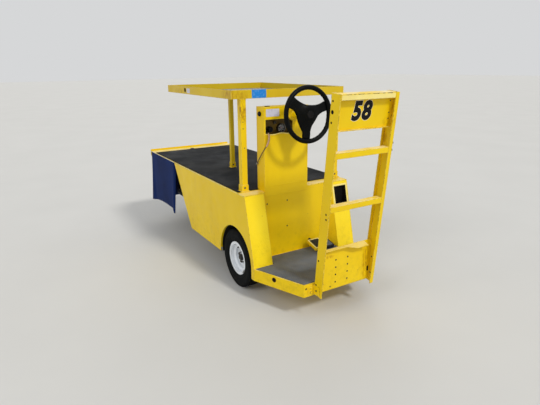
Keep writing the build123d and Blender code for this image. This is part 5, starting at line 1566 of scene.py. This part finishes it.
def curtain_line(s, down, out):
    """A point at s along the U under the deck edge, s below 0 or past the end being the rolled-in rear edge.

    The rear edges slant forwards on their way down, and out pushes the cloth away from the deck. Returns x, y.
    """
    edge_x, edge_y, fall, corner = CURTAIN_FRONT_X, CURTAIN_SIDE_Y, CURTAIN_FALL, 0.03
    side = 1 if s < CURTAIN_ROUND / 2 else -1
    from_rear = s if side > 0 else CURTAIN_ROUND - s
    rear_x = CURTAIN_REAR_X + 0.012 + 0.088 * down
    if from_rear < 0:
        x, y = rear_x + from_rear * 0.25, side * (edge_y + from_rear)
        nx, ny = 0, side * (1 + 12 * from_rear)
    elif from_rear < fall:
        x, y = rear_x + (edge_x - rear_x) * from_rear / fall, side * edge_y
        nx, ny = 0, side
    else:
        x, y, nx, ny = edge_x, edge_y - (s - fall), 1, 0
    near = abs(from_rear - fall)
    if near < corner:
        share = 1 - near / corner
        nx, ny = (share, side) if from_rear < fall else (1, side * share)
    return x + nx * out, y + ny * out


def hang_curtain():
    """The cloth as a grid laid in its folds, let down by a short simulation, then given its thickness."""
    columns, rows = 156, 34
    drop, rolled = CURTAIN_TOP - CURTAIN_HEM, 0.020
    fall, total = CURTAIN_FALL, CURTAIN_ROUND
    fold, furthest_out = 0.27, 0.031
    build = bmesh.new()
    uv_layer = build.loops.layers.uv.new("cloth")
    grid, flat = [], {}
    for j in range(rows + 1):
        down = j / rows
        line = []
        for i in range(columns + 1):
            s = -rolled + (total + 2 * rolled) * i / columns
            from_rear = min(s, total - s)
            wave = 0.5 + 0.5 * math.sin(s * 2 * math.pi / fold + 0.6 * math.sin(s * 5.1))
            corner = math.exp(-((s - fall) / 0.16) ** 2) + 0.8 * math.exp(-((s - total + fall) / 0.16) ** 2)
            beside = 1.0 if from_rear < fall else 0.0
            out = down ** 1.4 * (0.006 * wave + 0.020 * max(beside, min(1.0, corner)) + 0.004 * corner)
            x, y = curtain_line(s, down, min(out, furthest_out))
            # The hem hangs lowest at the front corners and the rolled edges, and rises towards the rear between them
            rise = 0.043 * (1 - min(1.0, max(0.0, from_rear / fall)) ** 3) if from_rear > 0.004 and beside else 0.0
            rise += 0.0 if beside else 0.010 * (1 - corner)
            vert = build.verts.new((x, y, CURTAIN_TOP - down * (drop - rise)))
            flat[vert] = (s, down * drop)
            line.append(vert)
        grid.append(line)
    for j in range(rows):
        for i in range(columns):
            face = build.faces.new((grid[j][i], grid[j + 1][i], grid[j + 1][i + 1], grid[j][i + 1]))
            for loop in face.loops:
                loop[uv_layer].uv = flat[loop.vert]
    bmesh.ops.recalc_face_normals(build, faces=build.faces)
    mesh = bpy.data.meshes.new("curtain_cloth")
    build.to_mesh(mesh)
    build.free()
    draft = bpy.data.objects.new("curtain_draft", mesh)
    scene.collection.objects.link(draft)
    rest = [v.co.copy() for v in mesh.vertices]
    pin = draft.vertex_groups.new(name="pin")
    pin.add(list(range(columns + 1)), 1.0, "REPLACE")
    cloth = draft.modifiers.new("cloth", "CLOTH")
    cloth.settings.quality = 8
    cloth.settings.mass = 0.35
    cloth.settings.tension_stiffness = 40
    cloth.settings.compression_stiffness = 40
    cloth.settings.shear_stiffness = 20
    cloth.settings.bending_stiffness = 4.0
    cloth.settings.air_damping = 4
    cloth.settings.vertex_group_mass = "pin"
    cloth.collision_settings.use_collision = False
    last_frame, furthest_moved = 26, 0.03
    cloth.point_cache.frame_start, cloth.point_cache.frame_end = 1, last_frame
    for frame_number in range(1, last_frame + 1):
        scene.frame_set(frame_number)
    moved = bpy.data.meshes.new_from_object(draft.evaluated_get(bpy.context.evaluated_depsgraph_get()))
    for vert, start in zip(moved.vertices, rest):
        step = vert.co - start
        if step.length > furthest_moved:
            step *= furthest_moved / step.length
        vert.co = start + step
        # The cloth hangs against the deck frame's ends and never inside them
        if start.x < DECK_FRONT_X - 0.04 and abs(start.y) > PANEL_Y - 0.004:
            vert.co.y = math.copysign(max(abs(vert.co.y), CURTAIN_SIDE_Y), start.y)
        if abs(start.y) < PANEL_Y - 0.04:
            vert.co.x = max(vert.co.x, CURTAIN_FRONT_X)
    draft.modifiers.clear()
    draft.data = moved
    scene.frame_set(1)
    thick = draft.modifiers.new("thick", "SOLIDIFY")
    thick.thickness, thick.offset = 0.0016, 0.0
    sub = draft.modifiers.new("smooth", "SUBSURF")
    sub.levels = sub.render_levels = 1
    done = bpy.data.meshes.new_from_object(draft.evaluated_get(bpy.context.evaluated_depsgraph_get()))
    bpy.data.objects.remove(draft)
    done.shade_smooth()
    curtain = new_piece("curtain_cloth", done, NAVY_CLOTH, "chassis", "blue_fabric")
    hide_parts("curtain")


hang_curtain()


# ---- Studio ----

def light_studio():
    """Even daylight-like light: three soft lamps from above, a low glow from behind, a pale world and floor."""
    world = bpy.data.worlds.new("studio")
    scene.world = world
    world.use_nodes = True
    tree = world.node_tree
    tree.nodes.clear()
    # The pale background shows to the camera, in gloss and through glass. The soft light is for the rest
    rays = add_node(tree, "ShaderNodeLightPath").outputs
    seen = rays["Is Camera Ray"]
    for ray in ("Is Glossy Ray", "Is Transmission Ray"):
        seen = add_node(tree, "ShaderNodeMath", {0: seen, 1: rays[ray]}, operation="MAXIMUM").outputs[0]
    soft = add_node(tree, "ShaderNodeBackground", {"Color": colour("F1F3F6"), "Strength": 0.5})
    pale = add_node(tree, "ShaderNodeBackground", {"Color": colour("D6D7D8"), "Strength": 1.0})
    both = add_node(tree, "ShaderNodeMixShader", {0: seen, 1: soft.outputs[0], 2: pale.outputs[0]})
    add_node(tree, "ShaderNodeOutputWorld", {"Surface": both.outputs[0]})
    for name, towards, strength, spread in (
        ("roof_lamp_behind", (-0.70, -0.13, 0.70), 1.42, 0.14),
        ("roof_lamp_left", (-0.15, 0.78, 0.61), 0.72, 0.5),
        ("roof_lamp_front", (0.72, -0.35, 0.60), 0.55, 0.7),
        ("wall_glow_behind", (-0.95, 0.05, 0.22), 0.34, 1.1),
    ):
        lamp = bpy.data.lights.new(name, "SUN")
        lamp.energy, lamp.angle = strength, spread
        lamp.color = colour("FFFCF6")[:3]
        made = bpy.data.objects.new(name, lamp)
        scene.collection.objects.link(made)
        made.location = Vector(towards) * 6
        made.rotation_mode = "QUATERNION"
        made.rotation_quaternion = Vector(towards).to_track_quat("Z", "Y")
    material, tree, shader, where = start_finish("pale_studio_floor", Roughness=0.8, Specular_IOR_Level=0.2)
    tone = patches(tree, where, 833, 3, (0.3, 0.8), ("CFCFCD", "D3D3D1"))
    tree.links.new(tone, shader.inputs["Base Color"])
    floor = bpy.data.meshes.new("studio_floor")
    floor.from_pydata([(sx * 60, sy * 60, -0.0005) for sx, sy in SQUARE], [], [(0, 1, 2, 3)])
    floor.materials.append(material)
    ground = bpy.data.objects.new("studio_floor", floor)
    scene.collection.objects.link(ground)


light_studio()
